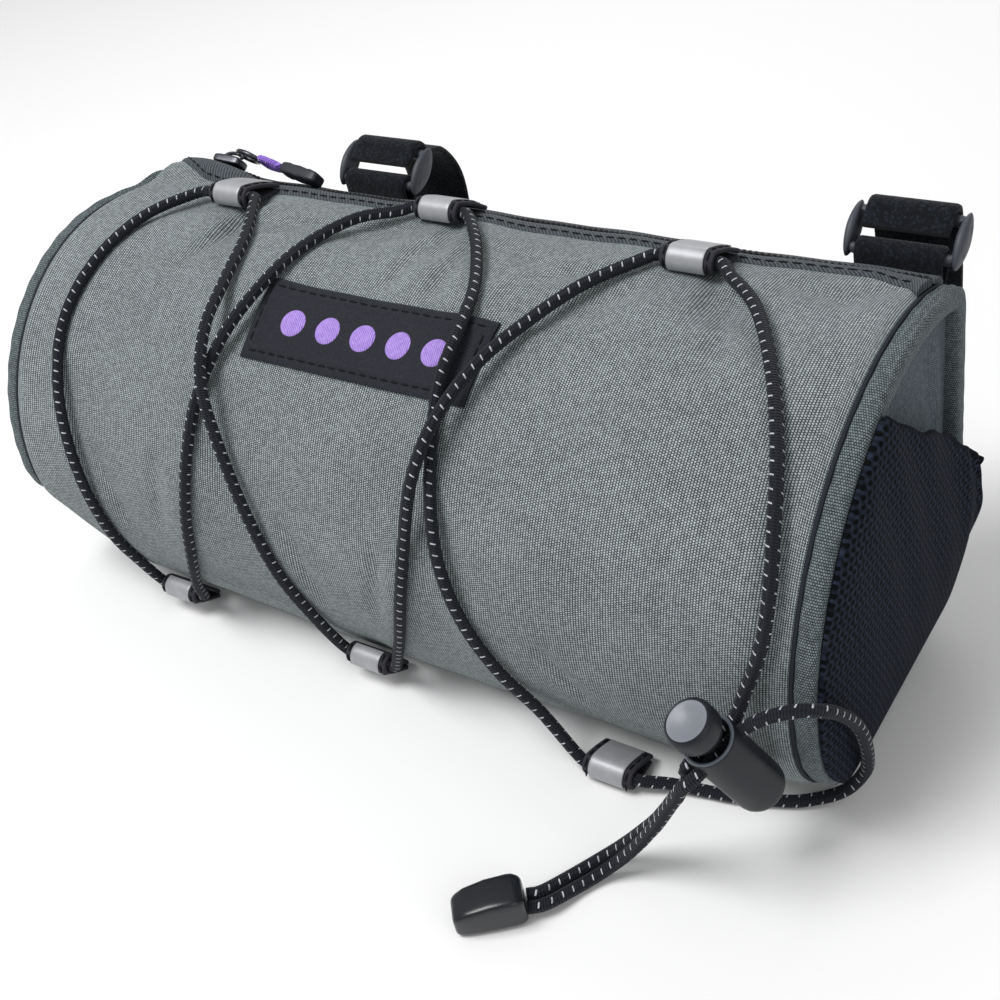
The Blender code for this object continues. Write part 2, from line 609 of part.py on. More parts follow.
def make_label():
    cloth = material("black_label", (0.02, 0.022, 0.03), 0.7)
    along = np.linspace(LABEL_ALONG[0], LABEL_ALONG[1], 10)
    angles = np.tile(np.linspace(LABEL_ANGLES[0], LABEL_ANGLES[1], 5), (10, 1))
    skin_strip("label_patch", along, angles, (GAP, GAP + LABEL_THICKNESS), cloth)


def loop_path(root, way, normal, reach):
    """Middle line of a folded webbing loop: out along the cloth, round the cord and back on top."""
    way, normal = unit(way), unit(normal)
    low = WEBBING / 2 + GAP
    bend = [(reach - LOOP_ROUND + LOOP_ROUND * math.sin(t), low + LOOP_ROUND * (1 - math.cos(t)))
            for t in np.radians(np.arange(0, 181, 30))]
    flat = [(0.0, low), (reach * 0.35, low)] + bend + [(reach * 0.35, low + 1.5 * LOOP_ROUND),
                                                       (0.0, low + WEBBING + GAP)]
    return np.array([np.asarray(root) + way * a + normal * b for a, b in flat])


def strip_path(path, rise):
    """The outer stretch of a loop, moved off its surface by rise."""
    ahead = np.gradient(path, axis=0)
    ahead /= np.linalg.norm(ahead, axis=1)[:, None]
    out = np.cross(ahead, (1.0, 0.0, 0.0))
    middle = path[2:-2].mean(axis=0)
    sign = np.sign(np.sum(out * (path - middle), axis=1))[len(path) // 2]
    return (path + out * sign * rise)[4:-1]


def loop_place(name):
    """Where a loop is sewn on: its root, the way it points, its upper side and its reach."""
    along, angle, turn = LOOPS[name]
    if angle is None:
        root = np.array([along, *SLACK_LOOP_ROOT])
        return root, np.array([0.0, -1.0, 0.0]), np.array([0.0, 0.0, 1.0]), LOWER_LOOP_REACH
    clearance = LOOP_CLEARANCE if turn < 0 else LOWER_LOOP_CLEARANCE
    reach = LOOP_REACH if turn < 0 else LOWER_LOOP_REACH
    root = skin(along, angle, folded=True)
    way = unit(skin(along, angle + turn, folded=True) - root)
    normal = unit(np.cross((1.0, 0.0, 0.0), way))
    if normal @ root < 0:
        normal = -normal
    return root + normal * clearance, way, normal, reach


def loop_pass(name, side):
    """Cord points through a loop, entering from the given side: -1 from the left, 1 from the right."""
    root, way, normal, reach = loop_place(name)
    middle = root + way * (reach - LOOP_ROUND) + normal * (WEBBING / 2 + GAP + LOOP_ROUND)
    half = LOOP_WIDTH / 2
    return [middle + (side * half * share, 0.0, 0.0) for share in (1.2, 0.5, -0.5, -1.2)]


def make_loops():
    """Six webbing loops that carry the cord, each with a reflective strip round it."""
    webbing = material("black_webbing", (0.018, 0.02, 0.028), 0.8)
    silver = material("silver_strip", (0.52, 0.52, 0.54), 0.4, 0.2)
    for name in LOOPS:
        path = loop_path(*loop_place(name))
        band(name, path, (1.0, 0.0, 0.0), LOOP_WIDTH, WEBBING, webbing)
        rise = WEBBING / 2 + REFLECTIVE_THICKNESS / 2 + 0.1
        band(name.replace("loop", "strip"), strip_path(path, rise), (1.0, 0.0, 0.0),
             REFLECTIVE_WIDTH, REFLECTIVE_THICKNESS, silver)


def on_skin(rows):
    """Cord points that lie on the bag."""
    table = np.array(rows, float)
    return skin(table[:, 0], table[:, 1], CORD / 2 + CORD_LIFT + table[:, 2])


def lock_frame():
    """The lock's closed end, its axis, the way of the cords and the way across them."""
    axis = unit(LOCK_AXIS)
    way = np.asarray(LOCK_CORD_WAY, float)
    way = unit(way - axis * (way @ axis))
    across = np.cross(axis, way)
    foot = np.asarray(LOCK_CENTRE) - axis * LOCK_LENGTH / 2
    return foot, axis, way, across


def make_cords():
    """The whole lacing from the lock and back to it, and the two tail strands."""
    elastic = material("black_bungee", (0.015, 0.017, 0.025), 0.7)
    foot, axis, way, across = lock_frame()
    hole = foot + axis * SLOT_MIDDLE
    half_gap = way * GAP / 2
    behind = way * (LOCK_RADIUS + 0.3)
    left, right = hole - across * STRAND_SPACING / 2, hole + across * STRAND_SPACING / 2
    passes = [("top_loop_right", 1), ("bottom_loop_middle", 1), ("top_loop_left", 1),
              ("bottom_loop_left", -1), ("top_loop_middle", -1), ("bottom_loop_right", -1)]
    route = [left - half_gap, left - behind]
    for rows, (loop, side) in zip(STRANDS.values(), passes):
        route += [*on_skin(rows), *loop_pass(loop, side)]
    route += [*SLACK, right - behind, right - half_gap]
    cord("bungee_lacing", smooth_route(route, LACING_SPACING), elastic)

    inward = np.array([*unit(CORD_END_WAY), 0.0])
    mouth = np.array([*CORD_END_MOUTH, CORD / 2 - AXIS_HEIGHT + 1.2])
    middle = [hole + half_gap, hole + way * (LOCK_RADIUS + 1.5), *TAIL, mouth - inward * 4.0, mouth - inward * GAP]
    middle = smooth_route(middle, TAIL_SPACING)
    ahead = np.gradient(middle, axis=0)
    level = np.cross((0.0, 0.0, 1.0), ahead)
    level /= np.linalg.norm(level, axis=1)[:, None]
    level[:2] = across * np.sign(across @ level[2])
    for name, side in (("a", -1), ("b", 1)):
        cord("tail_strand_" + name, middle + level * side * STRAND_SPACING / 2, elastic)


def make_cord_end():
    """The moulded wedge that grips both strands."""
    rubber = material("black_moulding", (0.02, 0.022, 0.03), 0.55)
    inward = np.array([*unit(CORD_END_WAY), 0.0])
    side = np.cross((0.0, 0.0, 1.0), inward)
    length, width, height = CORD_END_SIZE
    base = np.array([*CORD_END_MOUTH, -AXIS_HEIGHT + 0.05])
    points = []
    for share, wide, tall in CORD_END_ROWS:
        centre = base + inward * length * share
        half = width * wide / 2
        top_half = half * CORD_END_TOP
        points += [centre - side * half, centre + side * half,
                   centre + side * top_half + (0, 0, height * tall),
                   centre - side * top_half + (0, 0, height * tall)]
    faces = grid_faces(len(CORD_END_ROWS), 4, around_columns=True)
    last = 4 * (len(CORD_END_ROWS) - 1)
    faces += [(0, 1, 2, 3), (last, last + 1, last + 2, last + 3)]
    bevelled(solid("cord_end", points, faces, rubber), CORD_END_BEVEL)


def make_lock():
    """The barrel cord lock: a bored body and a sprung button, both slotted for the cords."""
    plastic = material("black_plastic", (0.02, 0.023, 0.033), 0.35)
    foot, axis, way, across = lock_frame()
    body = [(0.0, 0.0), (LOCK_RADIUS - 1.4, 0.0), (LOCK_RADIUS - 0.3, 1.2), (LOCK_RADIUS, 4.0),
            (LOCK_RADIUS, LOCK_BODY - 1.0), (LOCK_RADIUS - 0.5, LOCK_BODY), (LOCK_BORE, LOCK_BODY),
            (LOCK_BORE, BORE_FLOOR), (0.0, BORE_FLOOR)]
    stem_foot, head_foot = BORE_FLOOR + BUTTON_TRAVEL + 2 * GAP, LOCK_BODY + BUTTON_TRAVEL + GAP
    button = [(0.0, stem_foot), (STEM_RADIUS, stem_foot),
              (STEM_RADIUS, head_foot), (BUTTON_RADIUS - 0.7, head_foot),
              (BUTTON_RADIUS, LOCK_BODY + BUTTON_TRAVEL + 1.2), (BUTTON_RADIUS, LOCK_LENGTH - 1.0),
              (BUTTON_RADIUS - 1.0, LOCK_LENGTH), (2.5, LOCK_LENGTH - 0.7), (0.0, LOCK_LENGTH - 0.9)]
    slot_wide = STRAND_SPACING + CORD + 2 * GAP
    slot_tall = CORD + 2 * GAP
    for name, profile, tall, raised in (("lock_body", body, slot_tall, 0.0),
                                        ("lock_button", button, slot_tall + BUTTON_TRAVEL, BUTTON_TRAVEL / 2)):
        made = solid(name, *turned(profile, 24, foot, axis), plastic)
        centre = foot + axis * (SLOT_MIDDLE + raised)
        size = (SLOT_CUTTER_LENGTH, slot_wide, tall)
        slot = solid("slot_of_" + name, *box_points(centre, (way, across, axis), size), plastic)
        cut(made, slot)


def make_strap(name, along, reach):
    """A hook-and-loop strap, the ring that it folds over and the tab that holds the ring."""
    webbing = material("black_strap", (0.018, 0.022, 0.035), 0.9)
    plastic = material("ring_plastic", (0.05, 0.053, 0.06), 0.4)
    back = BACK_DEPTH + GAP + STRAP_THICKNESS / 2
    top, low = np.array(RING_TOP), np.array(RING_BOTTOM)
    lean = unit(top - low)
    out = np.array([-lean[1], lean[0]])
    bend = RING_BAR / 2 + GAP + STRAP_THICKNESS / 2
    fold = [top - lean * 5.0 + out * bend, top - lean * 1.5 + out * bend]
    fold += [top + out * bend * math.cos(t) + lean * bend * math.sin(t) for t in np.radians(np.arange(0, 151, 30))]
    after = [(top[0] + reach * 0.55, top[1] - 4.0 + reach * 0.02), (top[0] + reach * 0.86, 47.0),
             (top[0] + reach * 0.80, 33.0), (top[0] + reach * 0.30, 22.0), (back + 4.5, 15.0), (back + 2.5, 8.0),
             (back + 2.4, -10.0)]
    path = np.concatenate([np.array(fold), np.array(after)])
    path = smooth_route(np.column_stack([np.full(len(path), along), path]), 6.0)
    band("strap_" + name, path, (1.0, 0.0, 0.0), STRAP_WIDTH, STRAP_THICKNESS, webbing)

    tab_bend = RING_BAR / 2 + GAP + WEBBING / 2
    tab_back = BACK_DEPTH + GAP + WEBBING / 2
    second = tab_back + WEBBING + GAP
    wrap = [low + tab_bend * np.array([-math.cos(t), math.sin(t)]) for t in np.radians(np.arange(-20, 201, 36.7))]
    tab = np.array([(tab_back, -8.0), (tab_back, 46.0), *wrap, (second + 0.3, 47.0), (second, 40.0)])
    tab = np.column_stack([np.full(len(tab), along), tab])
    band("strap_tab_" + name, tab, (1.0, 0.0, 0.0), STRAP_WIDTH, WEBBING, webbing)

    half = STRAP_WIDTH / 2 + RING_SIDE / 2 + 2 * GAP
    centre = np.array([along, *((top + low) / 2)])
    span = np.linalg.norm(top - low) / 2
    corners = np.array([(-1, -1), (1, -1), (1, 1), (-1, 1)], float)
    lean_way = np.array([0.0, *lean])
    mitres = corners[:, :1] * (1.0, 0.0, 0.0) + corners[:, 1:] * lean_way
    centres = centre + corners[:, :1] * half * (1.0, 0.0, 0.0) + corners[:, 1:] * span * lean_way
    half_bar = RING_BAR / 2
    profile = [(half_bar * 0.9 * math.cos(t), half_bar * math.sin(t)) for t in np.radians(np.arange(0, 360, 45))]
    ring_sweep("buckle_" + name, centres, mitres, np.array([0.0, *out]), profile, plastic)


def main():
    for thing in list(bpy.data.objects):
        bpy.data.objects.remove(thing, do_unlink=True)
    make_body()
    make_zip()
    make_slider()
    make_end(-1, "left")
    make_end(1, "right")
    make_pocket()
    make_label()
    make_loops()
    make_cords()
    make_cord_end()
    make_lock()
    for name, (along, reach) in STRAPS.items():
        make_strap(name, along, reach)


main()
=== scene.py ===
"""Looks of a laced bicycle handlebar bag, laid out as a Blender add-on and run as a script.

Shapes are worked out in millimetres about the bag's axis: X along the bag, -Y to the front, Z up.
Angles go round that axis in degrees: 0 faces the front, 90 the top, 180 the back, -90 the underside.
"""

import functools
import math

import bmesh
import bpy
import numpy as np
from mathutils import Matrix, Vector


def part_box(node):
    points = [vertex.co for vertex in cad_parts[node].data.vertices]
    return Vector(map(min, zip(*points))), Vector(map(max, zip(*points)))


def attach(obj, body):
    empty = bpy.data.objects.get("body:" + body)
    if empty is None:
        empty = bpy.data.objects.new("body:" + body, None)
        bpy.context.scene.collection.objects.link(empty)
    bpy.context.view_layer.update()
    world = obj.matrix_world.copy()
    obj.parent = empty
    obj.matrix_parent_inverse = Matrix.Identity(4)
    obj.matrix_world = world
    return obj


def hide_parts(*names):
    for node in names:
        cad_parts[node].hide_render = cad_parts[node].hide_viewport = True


bl_info = {
    "name": "Laced handlebar bag",
    "version": (1, 0, 0),
    "blender": (4, 5, 0),
    "location": "View3D > Sidebar > Bag",
    "description": "Makes the cloth, cords, webbing and mouldings of a laced handlebar bag",
    "category": "Object",
}

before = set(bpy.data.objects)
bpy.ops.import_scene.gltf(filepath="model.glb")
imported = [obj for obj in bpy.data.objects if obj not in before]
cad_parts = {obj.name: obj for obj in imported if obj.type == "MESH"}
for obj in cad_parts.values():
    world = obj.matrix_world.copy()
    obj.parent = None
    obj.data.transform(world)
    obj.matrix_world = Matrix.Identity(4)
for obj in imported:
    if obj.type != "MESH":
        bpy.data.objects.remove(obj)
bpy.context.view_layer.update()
SHARP_ANGLE = 42.0
MM = 0.001
SIDES = ((-1, "left"), (1, "right"))
X_WAY = np.array([1.0, 0.0, 0.0])
Z_WAY = np.array([0.0, 0.0, 1.0])
body_low, body_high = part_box("body_panel")

# Main form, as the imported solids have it
SEAM_GROOVE = 0.6
HALF = body_high.x / MM + SEAM_GROOVE / 2
BOTTOM_DEPTH = 37.0
BACK_DEPTH = body_high.y / MM
RADIUS = -body_low.y / MM
LOWER_FRONT_DEPTH = 62.0
LOWER_BACK_DEPTH = 38.0
CORNER_POWER = 28
AXIS_HEIGHT = 36.7
WALL = 2.5
GAP = 0.3
SECTIONS = np.array([
    # along, round, bottom, back, lower_front, lower_back
    (-1.06, 0.930, 0.62, 0.96, 0.69, 0.82),
    (-1.00, 0.975, 0.74, 1.00, 0.75, 0.88),
    (-0.80, 1.000, 0.94, 1.00, 0.91, 0.97),
    (-0.40, 1.000, 1.00, 1.00, 1.00, 1.00),
    (0.40, 1.000, 1.00, 1.00, 1.00, 1.00),
    (0.80, 1.000, 0.97, 1.00, 0.97, 0.97),
    (1.00, 1.000, 0.84, 1.00, 0.91, 0.88),
    (1.06, 0.965, 0.72, 0.96, 0.84, 0.80),
])
FLATS = (
    # depth, its column in the sections, degrees that it faces
    (BOTTOM_DEPTH, 2, -90.0),
    (BACK_DEPTH, 3, 180.0),
    (LOWER_FRONT_DEPTH, 4, -44.0),
    (LOWER_BACK_DEPTH, 5, -135.0),
)

# Main folds, as the solid has them: valleys pulled in by the cord and the loops
FOLDS = [
    # along 1, angle 1, along 2, angle 2, width mm, depth mm
    (-0.62, 97, -0.86, 78, 9.0, 1.6),
    (-0.60, 96, -0.42, 62, 8.0, 1.4),
    (-0.05, 98, -0.26, 86, 10.0, 1.8),
    (0.02, 98, 0.22, 80, 8.0, 1.4),
    (0.55, 92, 0.34, 70, 10.0, 1.8),
    (0.64, 92, 0.86, 74, 9.0, 1.5),
    (-0.80, 40, -0.74, 2, 9.0, 1.5),
    (-0.36, 30, -0.20, 6, 9.0, 1.3),
    (-0.50, -14, -0.16, -20, 9.0, 1.5),
    (0.24, 30, 0.36, 4, 9.0, 1.3),
    (0.93, 50, 0.96, 15, 8.0, 1.2),
    (0.98, 104, 0.86, 96, 9.0, 1.2),
    (-1.08, 108, -0.64, 107, 11.0, -5.0),
]
# Finer creases of the cloth, on top of the main folds
CREASES = [
    # along 1, angle 1, along 2, angle 2, width mm, depth mm
    (-0.55, 101, -0.50, 76, 7.0, 1.5),
    (0.00, 102, 0.03, 82, 6.0, 1.2),
    (0.62, 101, 0.68, 78, 7.0, 1.4),
    (-0.52, 99, -0.58, 70, 5.0, 1.3),
    (-0.47, 98, -0.50, 74, 6.0, -0.7),
    (-0.70, 96, -0.98, 84, 5.0, 0.8),
    (-0.12, 97, -0.42, 88, 5.0, 0.9),
    (-0.02, 94, -0.02, 72, 5.0, 0.9),
    (0.07, 96, 0.10, 70, 6.0, 1.1),
    (0.13, 95, 0.30, 88, 5.0, 0.8),
    (0.50, 95, 0.28, 84, 5.0, 0.8),
    (0.68, 96, 0.74, 66, 6.0, 1.1),
    (0.74, 98, 0.94, 93, 5.0, 0.7),
    (-0.66, -6, -0.72, 20, 5.0, 0.8),
    (-0.56, -4, -0.50, 22, 5.0, 0.8),
    (-0.08, -12, -0.14, 14, 5.0, 0.8),
    (0.06, -10, 0.12, 16, 5.0, 0.8),
    (0.58, -16, 0.46, 2, 5.0, 0.8),
    (0.96, 88, 0.97, 30, 5.0, 0.7),
    (-0.97, 90, -0.98, 20, 5.0, 0.6),
]

RIPPLES = (
    # height mm, waves along, waves round, start
    (0.16, 0.115, 0.07, 0.6),
    (0.12, 0.05, -0.16, 2.1),
    (0.07, 0.31, 0.19, 4.0),
)
EDGE_ROLL = 1.1
EDGE_ROLL_WIDTH = 1.6
RIPPLE_SHARE = 1.4
CREASE_SHARE = 1.5
BULGE_WIDTH = 7.0
BULGE_DIP_WIDTH = 1.6
BULGE_DIP_SHARE = 0.35
# How far the zip draws the left end in, from where along, over what length, at what angle and how wide
END_PULL = 9.0
END_PULL_FROM = -78.0
END_PULL_LENGTH = 38.0
END_PULL_ANGLE = 116.0
END_PULL_WIDTH = 24.0

# Zip
ZIP_FRONT_ANGLE = 105.5
ZIP_TAPE_ANGLE = 5.0
ZIP_COIL_ANGLE = 2.6
ZIP_REAR_ANGLE = 10.0
# Edges of the cloth and of the binding beside the zip: share of the half length, degrees past the zip's angle
ZIP_EDGE = np.array([
    (-1.02, 3.0), (-0.84, 2.8), (-0.50, 0.0), (0.70, 0.0), (0.90, 1.5), (0.97, 0.0), (1.02, -5.0)])
BINDING_EDGE = np.array([
    (-1.02, 6.0), (-0.94, 3.0), (-0.87, 0.2), (-0.77, -3.2), (-0.66, -4.0), (-0.49, -3.2),
    (-0.34, -1.9), (-0.16, -1.4), (0.70, -1.3), (0.90, 0.3), (0.97, -1.2), (1.02, -6.2)])
SLIDER_ALONG = -89.5
SLIDER_SIZE = (9.0, 6.0, 3.2)
PULL_RING_SIZE = (9.0, 6.5, 1.4)
PULL_LOOP_LENGTH = 7.5
PULL_LOOP_THICKNESS = 1.8
PULL_LOOP_WIDTH = 4.5
PULL_GRIP_SIZE = (14.0, 5.5, 3.6)
PULL_FALL = 8.5
COIL_RISE = 0.2
BAND_INSET = 0.4
BAND_SINK = 0.9
BINDING_RISE = 1.0
BINDING_OVERLAP = 1.5
REAR_BANDS = (
    # name, begin and end in degrees behind the coil, rise mm, finish, solids
    ("binding_rear", 0.0, 5.0, 0.7, "ribbed binding", ()),
    ("tape_rear", 4.6, ZIP_REAR_ANGLE + 0.6, 0.25, "end polyester", ("zip_tape_rear",)),
)
FRONT_SEAM = (1.2, 0.95)
REAR_SEAM = (4.2, 0.75)
BRIDGE_REACH = 3.2
BRIDGE_RISE = 1.4
BRIDGE_RADIUS = 0.55

# Ends
PIPING_WIDTH = 5.0
PIPING_DEPTH = 5.0
PIPING_SQUARENESS = 0.62
PIPING_PUCKER = 0.12
PIPING_PUCKERS = 46.0
PIPING_RIB = 0.32
PIPING_RIBS = 3.9
PIPING_RIBS_ANGLE = 108.0
PIPING_RIBS_WIDTH = 32.0
# The end seam's dark cord, sunk into the groove between the wrap and the piping, is painted shadow
END_SEAM_SINK = 1.3
END_SEAM_RADIUS = 0.55
END_PANEL_THICKNESS = 2.0
END_PANEL_RECESS = 3.4
END_PANEL_CROWN = 1.2
PANEL_CREASES = [
    # y 1, z 1, y 2, z 2, width mm, depth mm
    (20, 50, 24, 5, 4.0, 0.9),
    (14, 52, 19, 12, 4.0, -0.8),
    (8, 48, 14, 20, 5.0, 0.7),
    (-20, 46, 10, 30, 6.0, 0.6),
    (-30, 20, 5, 8, 7.0, -0.6),
    (-8, -10, 12, -24, 7.0, 0.6),
]
POCKET_THICKNESS = 1.0
POCKET_FULLNESS = 3.2
POCKET_GAPE = 4.2
POCKET_FRONT_ANGLE = 67.0
POCKET_BACK_ANGLE = -197.0

# Label
LABEL_ALONG = (-34.0, 33.0)
LABEL_ANGLES = (49.5, 69.5)
LABEL_THICKNESS = 0.8
LABEL_SEAM_INSET = 2.0
DOT_RADIUS = 3.4
DOT_STEP = 10.5
DOT_RISE = 0.35

# Cord, loops, lock and cord end
CORD = 2.9
CORD_LIFT = 0.8
LYING = 0.9
LOOP_WIDTH = 13.0
LOOP_REACH = 12.5
LOWER_LOOP_REACH = 9.5
WEBBING = 1.2
REFLECTIVE_WIDTH = 9.0
REFLECTIVE_THICKNESS = 0.4
LOOP_SLACK = 0.15
LOOP_BEND = CORD / 2 + LOOP_SLACK + WEBBING / 2
LOOP_CLEARANCE = 0.1
LOOP_SHARES = (1.2, 0.5, -0.5, -1.2)
LOWER_LOOP_CLEARANCE = 1.1
SLACK_LOOP_ROOT = (-53.4, -36.5)
LOOPS = {
    # name: along, root angle, degrees towards which it points
    "top_loop_left": (-67.6, 103.0, -8.0),
    "top_loop_middle": (-5.0, 110.0, -8.0),
    "top_loop_right": (67.0, 104.5, -8.0),
    "bottom_loop_left": (-71.0, -34.5, 9.0),
    "bottom_loop_middle": (-3.0, -34.5, 9.0),
    "bottom_loop_right": (70.0, None, None),
}
LOCK_CENTRE = (106.5, -70.2, -0.8)
LOCK_AXIS = (-0.276, -0.357, 0.892)
LOCK_CORD_WAY = (-0.421, -0.769, -0.481)
LOCK_RADIUS = 5.9
LOCK_BODY = 23.6
LOCK_LENGTH = 32.0
LOCK_BORE = 4.7
BUTTON_RADIUS = 5.5
BUTTON_TRAVEL = 3.0
SLOT_MIDDLE = 20.0
STRAND_SPACING = 3.3
LOCK_EXIT = 0.3
TAIL_EXIT = 1.5
TAIL_RISE = 1.2
TAIL_LEAD = 4.0
CORD_END_SIZE = (16.0, 9.0, 8.6)
CORD_END_LIFT = 0.05
# Cord end: share of the half length, its width and its height there
CORD_END_SHAPE = np.array([
    (-1.0, 0.90, 0.88), (-0.75, 0.98, 0.97), (-0.3, 1.0, 1.0), (0.5, 0.93, 0.88), (1.0, 0.80, 0.66)])
CORD_END_MOUTH = (70.6, -99.4)
CORD_END_WAY = (-0.765, -0.644)

# Cord route, loop by loop: millimetres along, degrees round, millimetres above the usual height
STRANDS = {
    "lock to top right": [
        (107.6, 9, 0.8), (110.3, 19.2, 0.0), (110.6, 30, 0.0), (108.9, 41.2, 0.0), (105.2, 55, 0.0),
        (98.0, 70, 0.0), (88.0, 84, 0.0), (78.0, 92.2, 0.4)],
    "top right to bottom middle": [
        (55.5, 92, 0.4), (47.5, 82, 0.0), (40.8, 70, 0.6), (34.6, 58, 2.4), (30.0, 46, 3.8),
        (26.8, 34, 3.6), (23.8, 20, 0.8), (20.0, 4, 0.0), (15.0, -10, 0.0), (8.5, -22, 0.6)],
    "bottom middle to top left": [
        (-13.5, -18, 0.4), (-19.5, -2, 0.0), (-25.5, 13, 0.0), (-32.5, 28, 1.2), (-38.8, 41, 3.8),
        (-43.0, 53, 3.6), (-46.4, 66, 1.0), (-50.5, 79, 0.0), (-58.0, 91, 0.4)],
    "top left to bottom left": [
        (-80.5, 91.5, 0.2), (-88.5, 80, 0.0), (-93.5, 65, 0.0), (-95.8, 49, 0.0), (-93.6, 34, 0.0),
        (-90.0, 20, 0.0), (-86.6, 6, 0.0), (-84.0, -8, 0.0), (-81.0, -20, 0.4)],
    "bottom left to top middle": [
        (-59.5, -20, 0.6), (-52.5, -6, 0.0), (-47.8, 10, 0.0), (-44.8, 26, 0.0), (-42.6, 40, 0.2),
        (-38.2, 54, 1.4), (-33.4, 68, 1.4), (-31.0, 80, 0.0), (-25.0, 92, 0.0), (-16.0, 98, 0.4)],
    "top middle to bottom right": [
        (6.5, 97.5, 0.4), (15.0, 88, 0.0), (22.6, 76, 0.2), (25.8, 65, 1.4), (26.4, 54, 1.6),
        (27.8, 43, 0.4), (29.8, 30, 0.0), (32.4, 17, 0.0), (37.0, 4, 0.0), (43.5, -9, 0.2), (52.0, -21, 1.6)],
}
SLACK = [(84.0, -58.0, -34.4), (91.0, -56.2, -35.1), (98.1, -54.9, -35.1), (105.5, -52.6, -35.1),
         (112.5, -49.6, -35.1), (119.5, -44.5, -34.0), (123.6, -42.2, -28.0), (125.6, -45.0, -18.5),
         (126.4, -49.0, -7.5), (125.8, -51.9, -0.9), (124.9, -55.6, 4.5), (123.6, -59.3, 8.8),
         (121.0, -62.4, 11.0), (117.5, -64.2, 10.6), (113.5, -65.8, 8.8)]
TAIL = [(100.2, -78.0, -5.5), (96.9, -78.1, -12.0), (93.5, -78.4, -18.5), (89.4, -79.0, -25.0),
        (84.8, -80.9, -30.8), (80.5, -84.4, -34.3), (77.2, -89.4, -35.1)]

# Straps
STRAP_WIDTH = 20.0
STRAP_THICKNESS = 1.8
STRAPS = {"left": (-40.5, 18.0), "right": (104.5, 4.0)}
RING_BAR = 3.0
RING_SIDE = 3.0
RING_TOP = (38.5, 61.0)
RING_BOTTOM = (31.0, 55.5)

# Camera, from the photograph's perspective: place and ways in metres about the axis
CAMERA_AT = (0.2051, -0.2330, 0.2214 + AXIS_HEIGHT * MM)
CAMERA_RIGHT = (0.8265, 0.5342, -0.1777)
CAMERA_UP = (-0.2229, 0.6004, 0.7680)
CAMERA_LENS = 51.45

# Floor and lights, in metres and watts
FLOOR_HALF = 2.5
FLOOR_HEIGHT = -0.0002
SKY_STRENGTH = 0.42
LAMPS = (
    # name, place, size, power
    ("key", (-0.30, -0.36, 0.97), 0.5, 9.2),
    ("fill", (0.75, -0.35, 0.45), 0.6, 1.2),
    ("back", (-0.1, 0.7, 0.6), 0.5, 1.6),
)
LAMPS_AIM = (0.0, -0.01, 0.04)


def linear(code):
    """An sRGB hex colour as linear red, green, blue and alpha."""
    parts = np.array([int(code[i:i + 2], 16) for i in (1, 3, 5)]) / 255.0
    low, high = parts / 12.92, ((parts + 0.055) / 1.055) ** 2.4
    return (*np.where(parts <= 0.04045, low, high).tolist(), 1.0)


def length(name, description, millimetres):
    return bpy.props.FloatProperty(name=name, description=description, default=millimetres * MM,
                                   min=0.0, unit="LENGTH", precision=5)


def colour(name, description, code):
    return bpy.props.FloatVectorProperty(name=name, description=description, default=linear(code),
                                         size=4, min=0.0, max=1.0, subtype="COLOR")


class BagSizes(bpy.types.PropertyGroup):
    """Sizes of the bag's cloth and trim"""
    weave: length("Weave pitch", "Spacing of the bag cloth's threads", 0.65)
    stitch: length("Stitch length", "Length of one stitch of the seams", 2.4)
    stitch_step: length("Stitch step", "From one stitch to the next", 3.1)
    braid: length("Braid pitch", "Spacing of the ribs of the cord's sleeve", 0.62)
    fleck_step: length("Fleck step", "From one pale fleck of the cord to the next", 2.7)
    mesh_hole: length("Mesh pitch", "Spacing of the pocket mesh's eyelets", 1.8)
    coil_step: length("Coil pitch", "Spacing of the zip coil's turns", 1.5)
    cloth_bulge: length("Cloth bulge", "How far the padded cloth rises beside the cord", 0.9)


class BagColours(bpy.types.PropertyGroup):
    """Colours of the bag's finishes"""
    cloth_light: colour("Cloth, light threads", "Pale threads of the bag's cloth", "#b0b9bb")
    cloth_dark: colour("Cloth, dark threads", "Dark threads of the bag's cloth", "#262c2f")
    end_light: colour("End cloth, light threads", "Pale threads of the end panels", "#727e87")
    end_dark: colour("End cloth, dark threads", "Dark threads of the end panels", "#1f262c")
    piping_light: colour("End binding, light threads", "Pale threads of the bound end seams", "#7e898c")
    piping_dark: colour("End binding, dark threads", "Dark threads of the bound end seams", "#20272a")
    binding: colour("Binding", "Ribbed binding along the zip", "#565c61")
    mesh: colour("Mesh", "Pocket mesh", "#262c3b")
    webbing: colour("Webbing", "Loops of webbing", "#30343c")
    # painted highlight: the paler colour of the loops' tips, where they catch the light
    pile: colour("Strap pile", "Tips of the straps' fastener loops", "#2b313d")
    silver: colour("Reflective strip", "Glass bead tape round the loops", "#a9aaae")
    cord: colour("Cord", "Sleeve of the elastic cord", "#15171e")
    fleck: colour("Fleck", "Pale threads in the cord's sleeve", "#c3c6cc")
    accent: colour("Accent", "Purple thread of the label", "#b99be6")
    pull: colour("Pull cord", "Purple cord of the zip pull", "#7d5fc0")
    moulding: colour("Moulding", "Cord lock", "#14161d")
    ring: colour("Strap ring", "Plastic rings of the straps", "#3a3d44")


def sizes():
    return bpy.context.scene.bag_sizes


def colours():
    return bpy.context.scene.bag_colours


# Surfaces of the bag

def unit(v):
    v = np.asarray(v, float)
    return v / np.linalg.norm(v, axis=-1, keepdims=True)


def circle(count):
    """Angles of equal steps round a circle, in radians."""
    return np.arange(count) * 2 * math.pi / count


def squared(wave, power):
    """A cosine or sine raised to a power with its sign kept: below one it makes a circle a soft square."""
    return np.sign(wave) * np.abs(wave) ** power


